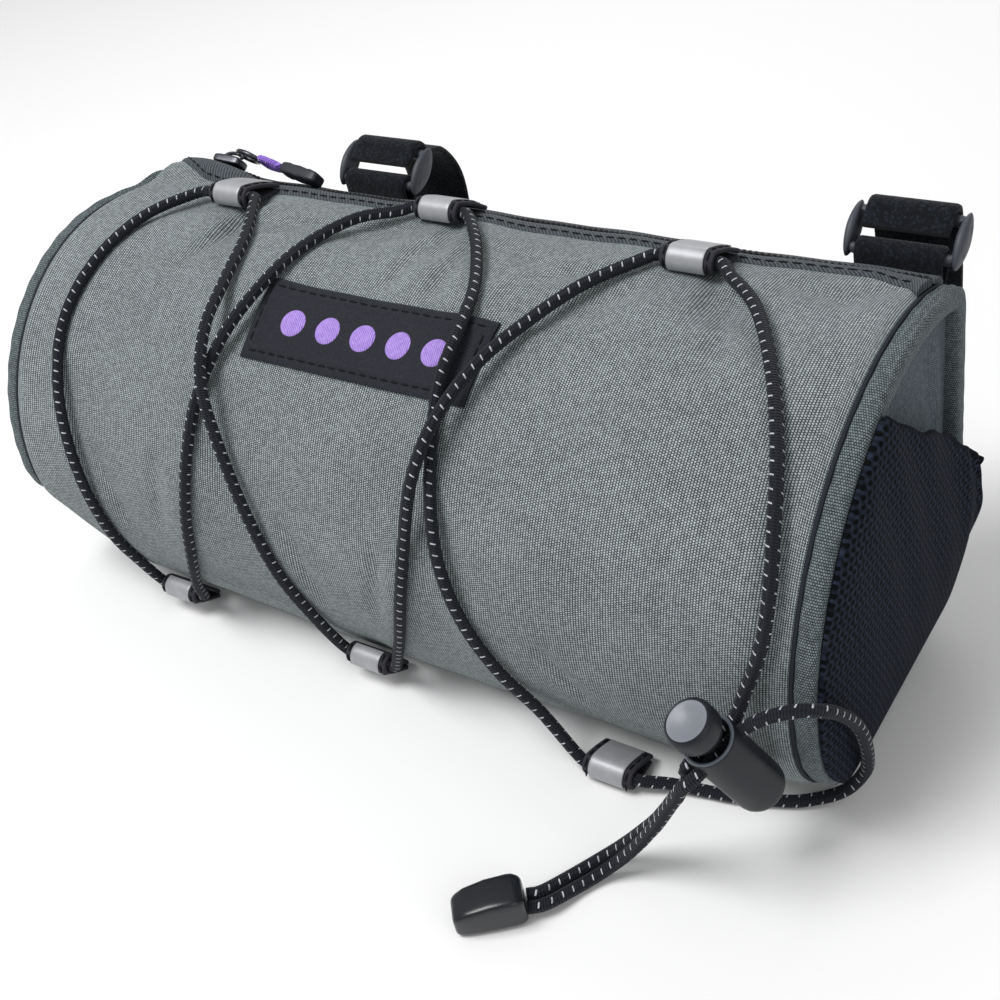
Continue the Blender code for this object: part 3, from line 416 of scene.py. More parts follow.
def section_radius(along, angle):
    """Distance of the skin from the axis: a soft minimum of the circle and four flats."""
    share = along / HALF
    total = (RADIUS * np.interp(share, SECTIONS[:, 0], SECTIONS[:, 1])) ** -float(CORNER_POWER)
    for size, column, facing in FLATS:
        depth = size * np.interp(share, SECTIONS[:, 0], SECTIONS[:, column])
        total = total + (np.maximum(np.cos(np.radians(angle - facing)), 1e-6) / depth) ** CORNER_POWER
    return total ** (-1.0 / CORNER_POWER)


def fold_depth(along, angle, rows):
    """Depth of the folds: each is a Gaussian valley across its line that fades with the cube at its ends."""
    arc = np.radians(angle) * RADIUS
    depth = np.zeros(np.broadcast(along, angle).shape)
    for x1, a1, x2, a2, width, deep in rows:
        p = np.array([x1 * HALF, math.radians(a1) * RADIUS])
        q = np.array([x2 * HALF, math.radians(a2) * RADIUS])
        span = np.linalg.norm(q - p)
        way = (q - p) / span
        t = ((along - p[0]) * way[0] + (arc - p[1]) * way[1]) / span
        off = (along - p[0]) * -way[1] + (arc - p[1]) * way[0]
        fade = np.clip(1.0 - (2.0 * np.abs(t - 0.5)) ** 3, 0.0, 1.0)
        depth += deep * fade * np.exp(-(2.0 * off / width) ** 2)
    return depth


def ripple(along, angle):
    """Low soft unevenness of padded cloth: a sum of slanting waves."""
    arc = np.radians(angle) * RADIUS
    return sum(high * np.sin(along * p + arc * q + begin) for high, p, q, begin in RIPPLES)


def cord_bulge(along, angle):
    """The cloth rises to the cord's underside: a wide Gaussian of the distance less a narrow one."""
    line = low_cord()
    place = np.stack(np.broadcast_arrays(along, np.radians(angle) * RADIUS), -1)
    flat = place.reshape(-1, 2)
    nearest = np.full(len(flat), 1e9)
    for part in np.array_split(line, max(1, len(line) // 60)):
        square = ((flat[:, None, :] - part[None]) ** 2).sum(-1).min(1)
        nearest = np.minimum(nearest, square)
    far = np.sqrt(nearest).reshape(place.shape[:-1])
    bulge = sizes().cloth_bulge / MM
    dip = BULGE_DIP_SHARE * bulge * np.exp(-(far / BULGE_DIP_WIDTH) ** 2)
    return bulge * np.exp(-(far / BULGE_WIDTH) ** 2) - dip


def end_pull(along, angle):
    """The zip draws the left end inwards at the top back: a ramp along times a Gaussian round."""
    ramp = np.clip((END_PULL_FROM - along) / END_PULL_LENGTH, 0.0, 1.0)
    turn = (angle + 180.0 - END_PULL_ANGLE) % 360.0 - 180.0
    return END_PULL * ramp * ramp * np.exp(-(turn / END_PULL_WIDTH) ** 2)


def bare_skin(along, angle, detail):
    """Point of the skin: the section's radius less the folds and creases, with the bulge beside the cord."""
    r = section_radius(along, angle)
    if detail:
        r = r - fold_depth(along, angle, FOLDS)
    if detail == "full":
        calm = 1.0 - np.exp(-((np.abs(along) - HALF) / 6.0) ** 2)
        upper = np.clip((angle + 60.0) / 25.0, 0.0, 1.0) * np.clip((125.0 - angle) / 12.0, 0.0, 1.0)
        soft = RIPPLE_SHARE * ripple(along, angle) - CREASE_SHARE * fold_depth(along, angle, CREASES)
        r = r + upper * calm * (soft + cord_bulge(along, angle))
    a = np.radians(angle)
    height = np.maximum(r * np.sin(a), -AXIS_HEIGHT)
    return np.stack([along + end_pull(along, angle), -r * np.cos(a), height], -1)


def skin(along, angle, lift=0.0, detail="full"):
    """Point of the skin at a place along and an angle round, moved out along the section's normal."""
    along, angle = np.broadcast_arrays(np.asarray(along, float), np.asarray(angle, float))
    turn = bare_skin(along, angle + 0.6, detail and "main") - bare_skin(along, angle - 0.6, detail and "main")
    normal = unit(np.stack([np.zeros_like(turn[..., 0]), -turn[..., 2], turn[..., 1]], -1))
    return bare_skin(along, angle, detail) + normal * np.broadcast_to(lift, along.shape)[..., None]


def edge_angle(along, rows):
    """Angle of an edge beside the zip at places along it, read from its table."""
    return ZIP_FRONT_ANGLE + np.interp(along / HALF, rows[:, 0], rows[:, 1])


def smooth_route(points, spacing):
    """A Catmull-Rom curve through the points, divided to about the spacing."""
    points = np.asarray(points, float)
    ends = np.concatenate([[2 * points[0] - points[1]], points, [2 * points[-1] - points[-2]]])
    route = []
    for a, b, c, d in zip(ends, ends[1:], ends[2:], ends[3:]):
        pieces = max(1, int(round(np.linalg.norm(c - b) / spacing)))
        t = (np.arange(pieces) / pieces)[:, None]
        route.append(0.5 * (2 * b + (c - a) * t + (2 * a - 5 * b + 4 * c - d) * t ** 2
                            + (3 * b - a - 3 * c + d) * t ** 3))
    return np.concatenate(route + [points[-1:]])


def even(path, count):
    """The path divided into equal steps."""
    at = travelled(path)
    want = np.linspace(0, at[-1], count)
    return np.stack([np.interp(want, at, path[:, k]) for k in range(3)], -1)


def travelled(path):
    """Distance along a path at each of its points."""
    return np.concatenate([[0.0], np.cumsum(np.linalg.norm(np.diff(path, axis=0), axis=1))])


# Mesh making

def put(name, points, faces, corner_uv, material, nodes=(), body="bag", slot=None):
    """A closed mesh from millimetre points, with its corners' UVs, turned outwards, riding on its body."""
    mesh = bpy.data.meshes.new(name)
    placed = (np.asarray(points, float).reshape(-1, 3) + (0.0, 0.0, AXIS_HEIGHT)) * MM
    mesh.from_pydata(placed.tolist(), [], faces)
    layer = mesh.uv_layers.new(name="UVMap")
    layer.data.foreach_set("uv", np.asarray(corner_uv, np.float32).reshape(-1))
    shape = bmesh.new()
    shape.from_mesh(mesh)
    bmesh.ops.recalc_face_normals(shape, faces=shape.faces)
    if shape.calc_volume(signed=True) < 0:
        bmesh.ops.reverse_faces(shape, faces=shape.faces)
    shape.to_mesh(mesh)
    shape.free()
    mesh.shade_smooth()
    mesh.set_sharp_from_angle(angle=math.radians(SHARP_ANGLE))
    mesh.materials.append(material)
    made = bpy.data.objects.new(name, mesh)
    bpy.context.scene.collection.objects.link(made)
    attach(made, body)
    if nodes:
        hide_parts(*nodes)
    return made


def grid_parts(points, row_at, column_at, wrap_rows=False, wrap_columns=False, start=0):
    """Quads of a grid and their corner UVs: row_at and column_at are the texture places of its lines."""
    rows, columns = points.shape[:2]
    i, j = np.meshgrid(np.arange(rows if wrap_rows else rows - 1),
                       np.arange(columns if wrap_columns else columns - 1), indexing="ij")
    i, j = i.ravel(), j.ravel()
    corners = ((i, j), (i + 1, j), (i + 1, j + 1), (i, j + 1))
    faces = np.stack([start + (a % rows) * columns + b % columns for a, b in corners], -1)
    row_at, column_at = np.asarray(row_at, float), np.asarray(column_at, float)
    uv = np.stack([np.stack([row_at[a], column_at[b]], -1) for a, b in corners], 1)
    return faces.tolist(), uv.reshape(-1, 2)


def lines_at(points, wrap_rows, wrap_columns):
    """Distance in metres along the first row and column, with one more value where they close."""
    along = points[:, 0] if not wrap_rows else np.concatenate([points[:, 0], points[:1, 0]])
    across = points[len(points) // 2]
    across = across if not wrap_columns else np.concatenate([across, across[:1]])
    return travelled(along) * MM, travelled(across) * MM


def slab(name, outer, inner, material, **kind):
    """A sheet with a thickness: two grids of the same size, joined all round their edges."""
    rows, columns = outer.shape[:2]
    row_at, column_at = lines_at(outer, False, False)
    count = rows * columns
    faces, uv = grid_parts(outer, row_at, column_at)
    more, more_uv = grid_parts(inner, row_at, column_at, start=count)
    faces += [face[::-1] for face in more]
    uv = np.concatenate([uv, more_uv.reshape(-1, 4, 2)[:, ::-1].reshape(-1, 2)])
    edge = np.concatenate([
        np.arange(columns), np.arange(1, rows) * columns + columns - 1,
        (rows - 1) * columns + np.arange(columns - 2, -1, -1), np.arange(rows - 2, 0, -1) * columns])
    follow = np.roll(edge, -1)
    faces += np.stack([edge, follow, follow + count, edge + count], -1).tolist()
    place = np.stack([np.asarray(row_at)[edge // columns], np.asarray(column_at)[edge % columns]], -1)
    after = np.roll(place, -1, 0)
    uv = np.concatenate([uv, np.stack([place, after, after, place], 1).reshape(-1, 2)])
    points = np.concatenate([outer.reshape(-1, 3), inner.reshape(-1, 3)])
    return put(name, points, faces, uv, material, **kind)


def flat_uv(made):
    """Lay the texture flat from the side: y and z in metres, so that a fan-shaped grid doesn't stretch it."""
    places = np.empty(len(made.data.vertices) * 3, np.float32)
    made.data.vertices.foreach_get("co", places)
    corners = np.empty(len(made.data.loops), np.int32)
    made.data.loops.foreach_get("vertex_index", corners)
    made.data.uv_layers["UVMap"].data.foreach_set("uv", places.reshape(-1, 3)[corners][:, 1:].reshape(-1))


def closed_grid(name, points, material, wrap_rows=False, uv_lines=None, **kind):
    """A tube-like grid whose columns close on themselves; open rows are closed with a face at each end."""
    rows, columns = points.shape[:2]
    row_at, column_at = uv_lines or lines_at(points, wrap_rows, True)
    faces, uv = grid_parts(points, row_at, column_at, wrap_rows, True)
    if not wrap_rows:
        for first, row in ((0, 0), ((rows - 1) * columns, -1)):
            faces.append(list(range(first, first + columns)))
            uv = np.concatenate([uv, np.tile([[row_at[row], column_at[0]]], (columns, 1))])
    return put(name, points, faces, uv, material, **kind)


def copies(name, template, faces, centres, frames, material, **kind):
    """One joined mesh of a small closed shape at each centre; a frame's rows are its three ways."""
    points = centres[:, None, :] + np.einsum("vk,nkc->nvc", template, frames)
    index = np.asarray(faces)[None] + (np.arange(len(centres)) * len(template))[:, None, None]
    flat = index.reshape(-1, index.shape[-1])
    uv = np.zeros((flat.size, 2))
    return put(name, points.reshape(-1, 3), flat.tolist(), uv, material, **kind)


def bead(size):
    """A small ellipsoid as quads: half lengths along its three ways, with its poles drawn to a small ring."""
    rings, sides = 5, 8
    v = np.linspace(-1.38, 1.38, rings)[:, None]
    u = circle(sides)[None]
    points = np.stack([np.sin(v) + 0 * u, np.cos(v) * np.cos(u), np.cos(v) * np.sin(u)], -1) * size
    faces, _ = grid_parts(points, np.arange(rings), np.arange(sides + 1), False, True)
    for first in (0, (rings - 1) * sides):
        ring = [first + k for k in range(sides)]
        faces += [[ring[k], ring[k + 1], ring[-k - 2], ring[-k - 1]] for k in range(sides // 2 - 1)]
    return points.reshape(-1, 3), faces


def frames_of(path, reference):
    """Ahead, side and up ways at each point of a path: up is the reference made square to the path."""
    ahead = unit(np.gradient(path, axis=0))
    reference = np.broadcast_to(np.asarray(reference, float), ahead.shape)
    up = unit(reference - (reference * ahead).sum(-1, keepdims=True) * ahead)
    return np.stack([ahead, np.cross(up, ahead), up], 1)


def tube(name, path, radius, reference, material, sides=20, **kind):
    """A round cord: a circle carried along the path. UV: turns round it, metres along it."""
    turn = circle(sides)
    ways = frames_of(path, reference)
    ring = ways[:, None, 1] * np.cos(turn)[None, :, None] + ways[:, None, 2] * np.sin(turn)[None, :, None]
    points = path[:, None] + ring * np.broadcast_to(radius, len(path))[:, None, None]
    lines = (travelled(path) * MM, np.linspace(0, 1, sides + 1))
    return closed_grid(name, points, material, uv_lines=lines, **kind)


def ribbon(name, path, width, thickness, material, **kind):
    """Flat webbing: a bar with half-round edges carried along the path, its width along the bag."""
    ahead = unit(np.gradient(path, axis=0))
    up = unit(np.cross(ahead, X_WAY))
    turn = np.linspace(-math.pi / 2, math.pi / 2, 5)
    half = width / 2 - thickness / 2
    right = np.stack([half + np.cos(turn) * thickness / 2, np.sin(turn) * thickness / 2], -1)
    flat = np.linspace(half, -half, 14)[1:-1]
    top = np.stack([flat, np.full_like(flat, thickness / 2)], -1)
    profile = np.concatenate([right, top, -right, -top])
    points = path[:, None] + profile[None, :, :1] * X_WAY + profile[None, :, 1:] * up[:, None]
    return closed_grid(name, points, material, **kind)


def soft_block(name, centre, ways, size, powers, material, shape=None, **kind):
    """A superellipsoid: cosines and sines raised to powers give a block with soft edges.

    shape(share) may give the width and height at each share of the length, from -1 to 1.
    """
    v = np.linspace(-1.5, 1.5, 33)[:, None]
    u = circle(48)[None]
    x = squared(np.sin(v), powers[0]) + 0 * u
    y = squared(np.cos(v), powers[0]) * squared(np.cos(u), powers[1])
    z = squared(np.cos(v), powers[0]) * squared(np.sin(u), powers[1])
    if shape is not None:
        wide, tall, rise = shape(x)
        y, z = y * wide, z * tall + rise
    local = np.stack([x, y, z], -1) * np.asarray(size) / 2
    points = np.asarray(centre) + local @ unit(ways)
    return closed_grid(name, points, material, **kind)


def turned(name, rows, centre, axis, material, sides=64, **kind):
    """A turned shape: each row of radius and height is a circle round the axis."""
    rows = np.array(rows, float)
    first = unit(np.cross(axis, (0.0, 1.0, 0.0)))
    second = np.cross(axis, first)
    turn = circle(sides)
    ring = np.cos(turn)[:, None] * first + np.sin(turn)[:, None] * second
    points = np.asarray(centre) + ring[None] * rows[:, 0, None, None] + axis * rows[:, 1, None, None]
    return closed_grid(name, points, material, **kind)


# Materials

def add(tree, kind, *values, output=0, sockets=(), **settings):
    """Add a node and give back one of its outputs.

    The values go to its first inputs in order, and sockets holds inputs by name or number. Each is a plain
    value or another node's output, which is linked. The settings are the node's own attributes.
    """
    made = tree.nodes.new("ShaderNode" + kind)
    for key, value in settings.items():
        setattr(made, key, value)
    for key, value in [*enumerate(values), *dict(sockets).items()]:
        if isinstance(value, bpy.types.NodeSocket):
            tree.links.new(value, made.inputs[key])
        else:
            made.inputs[key].default_value = value
    return made.outputs[output]


def start(name, **principled):
    """A material and its node tree: the shader's values are set by socket name, with low lines for spaces."""
    made = bpy.data.materials.new(name)
    made.use_nodes = True
    for key, value in principled.items():
        made.node_tree.nodes["Principled BSDF"].inputs[key.replace("_", " ")].default_value = value
    return made, made.node_tree


def finish(made, share, low, high, height, deep):
    """Link the base colour, from low to high by the share, and a relief of the given depth in millimetres."""
    tree = made.node_tree
    base = add(tree, "Mix", sockets={0: share, 6: low, 7: high}, output=2, data_type="RGBA")
    relief = add(tree, "Bump", sockets={"Height": height, "Distance": deep * MM})
    shader = tree.nodes["Principled BSDF"]
    tree.links.new(base, shader.inputs["Base Color"])
    tree.links.new(relief, shader.inputs["Normal"])
    return made


def toned(tone, factor):
    """A colour made darker or lighter by a factor, and no brighter than white."""
    return [min(1.0, part * factor) for part in tone[:3]] + [1.0]


def laid_out(tree):
    """The piece's UV map: the place, and its two parts in metres."""
    uv = add(tree, "UVMap", uv_map="UVMap")
    return uv, add(tree, "SeparateXYZ", uv), add(tree, "SeparateXYZ", uv, output=1)


def in_cell(tree, value):
    """Place within a cell, from -0.5 to 0.5: the fraction of the value less a half."""
    return add(tree, "Math", add(tree, "Math", value, operation="FRACT"), 0.5, operation="SUBTRACT")


def square_far(tree, x, y):
    """Squared distance from the middle of a cell: x times x plus y times y."""
    return add(tree, "Math", y, y, add(tree, "Math", x, x, operation="MULTIPLY"), operation="MULTIPLY_ADD")


def wave(tree, value, pitch):
    """A sine that comes round once in each pitch."""
    turns = add(tree, "Math", value, 2 * math.pi / pitch, operation="MULTIPLY")
    return add(tree, "Math", turns, operation="SINE")


def woven(name, light, dark, pitch, melange, roughness=0.9, sheen=0.08, deep=0.09):
    """Woven polyester: rows of short pale floats, set half a step apart, over darker threads.

    Each float falls off as one less its squared distance from its middle, and has a shade of its own, so
    the cloth reads as a fine two-tone melange. The pitch is drawn a little coarser than the real 0.5 mm
    thread so that it shows.
    """
    made, tree = start(name, Roughness=roughness, Sheen_Weight=sheen, Sheen_Roughness=0.5,
                       Specular_IOR_Level=0.18)
    uv, u, v = laid_out(tree)
    column = add(tree, "Math", u, pitch, operation="DIVIDE")
    whole = add(tree, "Math", column, operation="FLOOR")
    half_step = add(tree, "Math", whole, 0.5, operation="MULTIPLY")
    row = add(tree, "Math", v, 1.0 / (0.85 * pitch), half_step, operation="MULTIPLY_ADD")
    far = square_far(tree, in_cell(tree, column), in_cell(tree, row))
    thread = add(tree, "MapRange", far, 0.30, 0.04)
    cell = add(tree, "CombineXYZ", whole, add(tree, "Math", row, operation="FLOOR"))
    speck = add(tree, "TexWhiteNoise", cell, noise_dimensions="3D")
    slub = add(tree, "TexNoise", sockets={"Vector": uv, "Scale": 260.0, "Detail": 3.0})
    cloud = add(tree, "TexNoise", sockets={"Vector": uv, "Scale": 32.0, "Detail": 2.0})
    shade = add(tree, "Math", speck, melange, -0.5 * melange, operation="MULTIPLY_ADD")
    for part, weight in ((slub, 0.14), (cloud, 0.16), (thread, 0.85)):
        shade = add(tree, "Math", part, weight, shade, operation="MULTIPLY_ADD")
    return finish(made, add(tree, "MapRange", shade, 0.33, 1.13), dark, light, thread, deep)


def ribbed(name, light, dark, pitch, slant, along=True, by_object=False):
    """Grosgrain binding, webbing or satin stitch: a sine makes ribs across or aslant the band.

    Fine noise breaks each rib into threads. The same sine and noise also set the colour: each rib's crest is
    painted light as a painted highlight and the gap beside it dark as painted shade, and each thread a little
    lighter or darker as painted highlight.
    """
    made, tree = start(name, Roughness=0.85, Sheen_Weight=0.08, Specular_IOR_Level=0.2)
    if by_object:
        place = add(tree, "TexCoord", output=3)
        lead, other = add(tree, "SeparateXYZ", place), add(tree, "SeparateXYZ", place, output=2)
    else:
        place, lead, other = laid_out(tree)
    if not along:
        lead, other = other, lead
    line = add(tree, "Math", other, slant, lead, operation="MULTIPLY_ADD")
    noise = add(tree, "TexNoise", sockets={"Vector": place, "Scale": 900.0, "Detail": 3.0})
    # painted highlight and painted shade: the rib's sine and the noise mix the colour from the dark tone in
    # the gaps to the light one on the crests
    shade = add(tree, "Math", wave(tree, line, pitch), 0.4, noise, operation="MULTIPLY_ADD")
    return finish(made, shade, dark, light, shade, 0.12)


def netted(name, thread, hole, pitch):
    """Warp-knitted pocket mesh: round eyelets in staggered rows, with a painted rib of yarn between columns.

    An eyelet is the part within 0.36 of a pitch of its middle. They are drawn at their real size.
    The eyelets are painted near black for the shaded inside seen through them, which is painted shade, and a
    sine mixes the yarn from that near black to a lighter copy of the thread: painted highlight on the rib,
    painted shade beside it.
    """
    made, tree = start(name, Roughness=0.8, Specular_IOR_Level=0.08)
    uv, u, v = laid_out(tree)
    row = add(tree, "Math", v, 1.0 / (0.87 * pitch), operation="MULTIPLY")
    shift = add(tree, "Math", add(tree, "Math", row, operation="FLOOR"), 0.5, operation="MULTIPLY")
    column = add(tree, "Math", u, 1.0 / pitch, shift, operation="MULTIPLY_ADD")
    far = add(tree, "Math", square_far(tree, in_cell(tree, column), in_cell(tree, row)), operation="SQRT")
    solid_part = add(tree, "MapRange", far, 0.27, 0.39)
    noise = add(tree, "TexNoise", sockets={"Vector": uv, "Scale": 900.0, "Detail": 3.0})
    shade = add(tree, "Math", wave(tree, u, pitch), 0.22, noise, operation="MULTIPLY_ADD")
    # painted highlight and painted shade: the rib's sine mixes the yarn from the eyelets' near black to a
    # lighter copy of the thread
    yarn = add(tree, "Mix", sockets={0: shade, 6: hole, 7: toned(thread, 1.25)}, output=2, data_type="RGBA")
    # painted shade: the eyelets take the near black of the shaded inside seen through them
    return finish(made, solid_part, hole, yarn, solid_part, 0.25)


def braided(name, sleeve, fleck, pitch, fleck_step):
    """Braided sleeve over rubber: sines make slanting ribs, and pale tracer threads show as short dashes.

    A dash is where the places across a third of the turn and along a step are both near their middles.
    The ribs' relief also sets the sleeve's colour, from a darker copy in the grooves to a lighter one on top:
    painted shade and painted highlight.
    """
    made, tree = start(name, Roughness=0.8, Sheen_Weight=0.06, Specular_IOR_Level=0.2)
    _, v, u = laid_out(tree)
    turns = add(tree, "Math", v, 2 * math.pi / pitch, operation="MULTIPLY")
    place = add(tree, "Math", u, 4 * math.pi, turns, operation="MULTIPLY_ADD")
    rib = add(tree, "Math", place, operation="SINE")
    relief = add(tree, "Math", wave(tree, u, 1 / 8), 0.5, rib, operation="MULTIPLY_ADD")
    third = add(tree, "Math", u, 3.0, operation="MULTIPLY")
    lag = add(tree, "Math", third, 0.33, operation="MULTIPLY")
    step = add(tree, "Math", v, 1.0 / fleck_step, lag, operation="MULTIPLY_ADD")
    near_x = add(tree, "Math", in_cell(tree, third), 0.0, 0.21, operation="COMPARE")
    near_y = add(tree, "Math", in_cell(tree, step), 0.0, 0.06, operation="COMPARE")
    dash = add(tree, "Math", near_x, near_y, operation="MULTIPLY")
    # painted highlight and painted shade: the relief mixes the sleeve from a darker copy in the grooves to a
    # lighter copy on the ribs
    light = add(tree, "MapRange", relief, -1.5, 1.5)
    ground = add(tree, "Mix", sockets={0: light, 6: toned(sleeve, 0.6), 7: toned(sleeve, 2.2)}, output=2,
                 data_type="RGBA")
    return finish(made, dash, ground, fleck, relief, 0.12)


def pile(name, tone, tips):
    """Loop fastener: noise less cell distances makes a mat of tiny curled loops, whose tips are painted paler
    where they catch light: painted highlight.
    """
    made, tree = start(name, Roughness=0.95, Sheen_Weight=0.15, Sheen_Roughness=0.4, Specular_IOR_Level=0.15)
    uv = add(tree, "UVMap", uv_map="UVMap")
    curl = add(tree, "TexNoise", sockets={"Vector": uv, "Scale": 1500.0, "Detail": 4.0, "Roughness": 0.75})
    tuft = add(tree, "TexVoronoi", sockets={"Vector": uv, "Scale": 1100.0})
    height = add(tree, "Math", tuft, -0.6, curl, operation="MULTIPLY_ADD")
    # painted highlight: the loops' height mixes the colour from the dark tone up to the pale tips
    return finish(made, add(tree, "MapRange", height, 0.15, 0.75), tone, tips, height, 0.22)


def moulded(name, tone, roughness, grain=0.02, metallic=0.0, coat=0.0, specular=0.35):
    """Moulded nylon, cast zinc or thread: a fine grain, rubbed a little smoother in clouds."""
    made, tree = start(name, Metallic=metallic, Coat_Weight=coat, Coat_Roughness=0.2,
                       Specular_IOR_Level=specular)
    place = add(tree, "TexCoord", output=3)
    fine = add(tree, "TexNoise", sockets={"Vector": place, "Scale": 2600.0, "Detail": 2.0})
    cloud = add(tree, "TexNoise", sockets={"Vector": place, "Scale": 160.0, "Detail": 3.0})
    rubbed = add(tree, "MapRange", cloud, sockets={3: roughness - 0.08, 4: roughness + 0.1})
    tree.links.new(rubbed, tree.nodes["Principled BSDF"].inputs["Roughness"])
    return finish(made, cloud, tone, toned(tone, 1.35), fine, grain)


def beaded(name, tone):
    """Glass bead tape: a grey film with a soft lustre, a fine grain and clouds of wear."""
    made, tree = start(name, Metallic=0.25, Roughness=0.45, Sheen_Weight=0.1)
    uv = add(tree, "UVMap", uv_map="UVMap")
    grain = add(tree, "TexNoise", sockets={"Vector": uv, "Scale": 2200.0, "Detail": 2.0})
    cloud = add(tree, "TexNoise", sockets={"Vector": uv, "Scale": 220.0, "Detail": 3.0})
    return finish(made, add(tree, "MapRange", cloud, 0.2, 0.8), toned(tone, 0.72), tone, grain, 0.03)


def look(name):
    """Each finish is made once, by the name of what it is."""
    if name in bpy.data.materials:
        return bpy.data.materials[name]
    c, s = colours(), sizes()
    black = linear("#101216")
    makers = {
        # Coated woven polyester, piece-dyed from pale and dark threads: matt, with a fine grey-green speckle
        "melange polyester": lambda: woven(name, c.cloth_light, c.cloth_dark, s.weave, 0.22),
        # The same cloth dyed darker for the ends: matt and bluish, with a finer speckle
        "end polyester": lambda: woven(name, c.end_light, c.end_dark, s.weave, 0.3),
        # Strips of the pale cloth folded over the end seams: woven, a little worn at the edge
        "end binding": lambda: woven(name, c.piping_light, c.piping_dark, s.weave * 0.9, 0.3),
        # Dense satin-woven label: nearly black with a faint thread grain
        "label satin": lambda: woven(name, linear("#2f323b"), linear("#15171c"), 0.45 * MM, 0.3,
                                     roughness=0.8, sheen=0.05, deep=0.04),
        # Woven grosgrain folded over the zip's edges: slanting ribs, with painted shade in the dark gaps
        # between them and painted highlight on their crests
        "ribbed binding": lambda: ribbed(name, c.binding, linear("#24282d"), 1.0 * MM, 0.9),
        # Embroidered satin stitch in purple thread: rows of threads side by side, their gloss painted, a
        # painted highlight on each crest and painted shade between
        "label embroidery": lambda: ribbed(name, c.accent, linear("#8468b8"), 0.5 * MM, 0.3, by_object=True),
        # Woven polyester webbing: ribs along the band, dark and matt, with painted shade between them and
        # painted highlight on their crests
        "webbing": lambda: ribbed(name, c.webbing, black, 0.9 * MM, 0.0, along=False),
        # Knitted loop fastener, brushed up: a dull mat of curled loops, their tips painted paler as painted
        # highlight
        "strap pile": lambda: pile(name, black, c.pile),
        # Reflective film of glass beads pressed on the webbing: pale grey with a soft lustre
        "reflective tape": lambda: beaded(name, c.silver),
        # Textured polyester braided over a rubber core: dark ribs, painted lighter on top and darker in the
        # grooves as painted highlight and painted shade, with pale tracer flecks
        "elastic braid": lambda: braided(name, c.cord, c.fleck, s.braid, s.fleck_step),
        # The same braid in purple for the zip pull
        "purple braid": lambda: braided(name, c.pull, linear("#c9b6ee"), s.braid, s.fleck_step),
        # Warp-knitted polyester mesh: navy yarn with open eyelets, painted near black for the shaded inside
        # seen through them: painted shade
        "pocket mesh": lambda: netted(name, c.mesh, linear("#040508"), s.mesh_hole),
        # Moulded nylon from a spark-eroded mould: satin, dark blue-grey
        "lock nylon": lambda: moulded(name, c.moulding, 0.42),
        # Painted highlight: a pale nylon ring at the barrel's mouth stands in for the light caught on its rim
        "rim highlight nylon": lambda: moulded(name, linear("#565b64"), 0.4),
        # Moulded nylon of the zip pull's grip: satin, nearly black
        "moulded nylon": lambda: moulded(name, linear("#24272e"), 0.42),
        # Polished mould: the cord end's nylon is black and glossy
        "glossy nylon": lambda: moulded(name, linear("#15171c"), 0.25, 0.01, coat=0.3),
        # The button's dished face in grey nylon, paler than the body: partly its own grey, partly the sheen
        # of the light on the satin dish painted into it
        "button face sheen": lambda: moulded(name, linear("#72757c"), 0.34, 0.03),
        # Dull moulded nylon of the strap rings
        "ring nylon": lambda: moulded(name, c.ring, 0.5),
        # Cast zinc with a gunmetal plating, tumbled smooth
        "gunmetal": lambda: moulded(name, linear("#4a4b50"), 0.3, 0.01, 0.9),
        # Coiled nylon monofilament: dark with small highlights on each turn
        "nylon coil": lambda: moulded(name, linear("#1b1c20"), 0.45),
        # Spun polyester sewing thread, black on the trim and grey on the cloth: matt. The grey one also makes
        # the dark cord sunk in each end seam's groove, which stands in for the shade in the groove: painted
        # shadow
        "black thread": lambda: moulded(name, linear("#0d0e11"), 0.75, specular=0.15),
        "grey thread and groove shade": lambda: moulded(name, linear("#23262c"), 0.75, specular=0.15),
    }
    return makers[name]()


# Routes shared by several pieces

def lock_frame():
    """The lock's closed end, its axis, the way of the cords and the way across them."""
    axis = unit(LOCK_AXIS)
    way = np.asarray(LOCK_CORD_WAY, float)
    way = unit(way - axis * (way @ axis))
    return np.asarray(LOCK_CENTRE) - axis * LOCK_LENGTH / 2, axis, way, np.cross(axis, way)


def loop_place(name):
    """Where a loop is sewn on: its root, the way it points, its upper side and its reach."""
    along, angle, turn = LOOPS[name]
    if angle is None:
        root = np.array([along, *SLACK_LOOP_ROOT])
        return root, np.array([0.0, -1.0, 0.0]), Z_WAY, LOWER_LOOP_REACH
    clearance = LOOP_CLEARANCE if turn < 0 else LOWER_LOOP_CLEARANCE
    root = skin(along, angle, detail="main")
    way = unit(skin(along, angle + turn, detail="main") - root)
    normal = unit(np.cross(X_WAY, way))
    normal = normal if normal @ root > 0 else -normal
    return root + normal * clearance, way, normal, LOOP_REACH if turn < 0 else LOWER_LOOP_REACH


def loop_pass(name, side):
    """Cord points through a loop, entering from the given side."""
    root, way, normal, reach = loop_place(name)
    middle = root + way * (reach - LOOP_BEND) + normal * (WEBBING / 2 + GAP + LOOP_BEND)
    return [middle + (side * LOOP_WIDTH / 2 * share, 0.0, 0.0) for share in LOOP_SHARES]


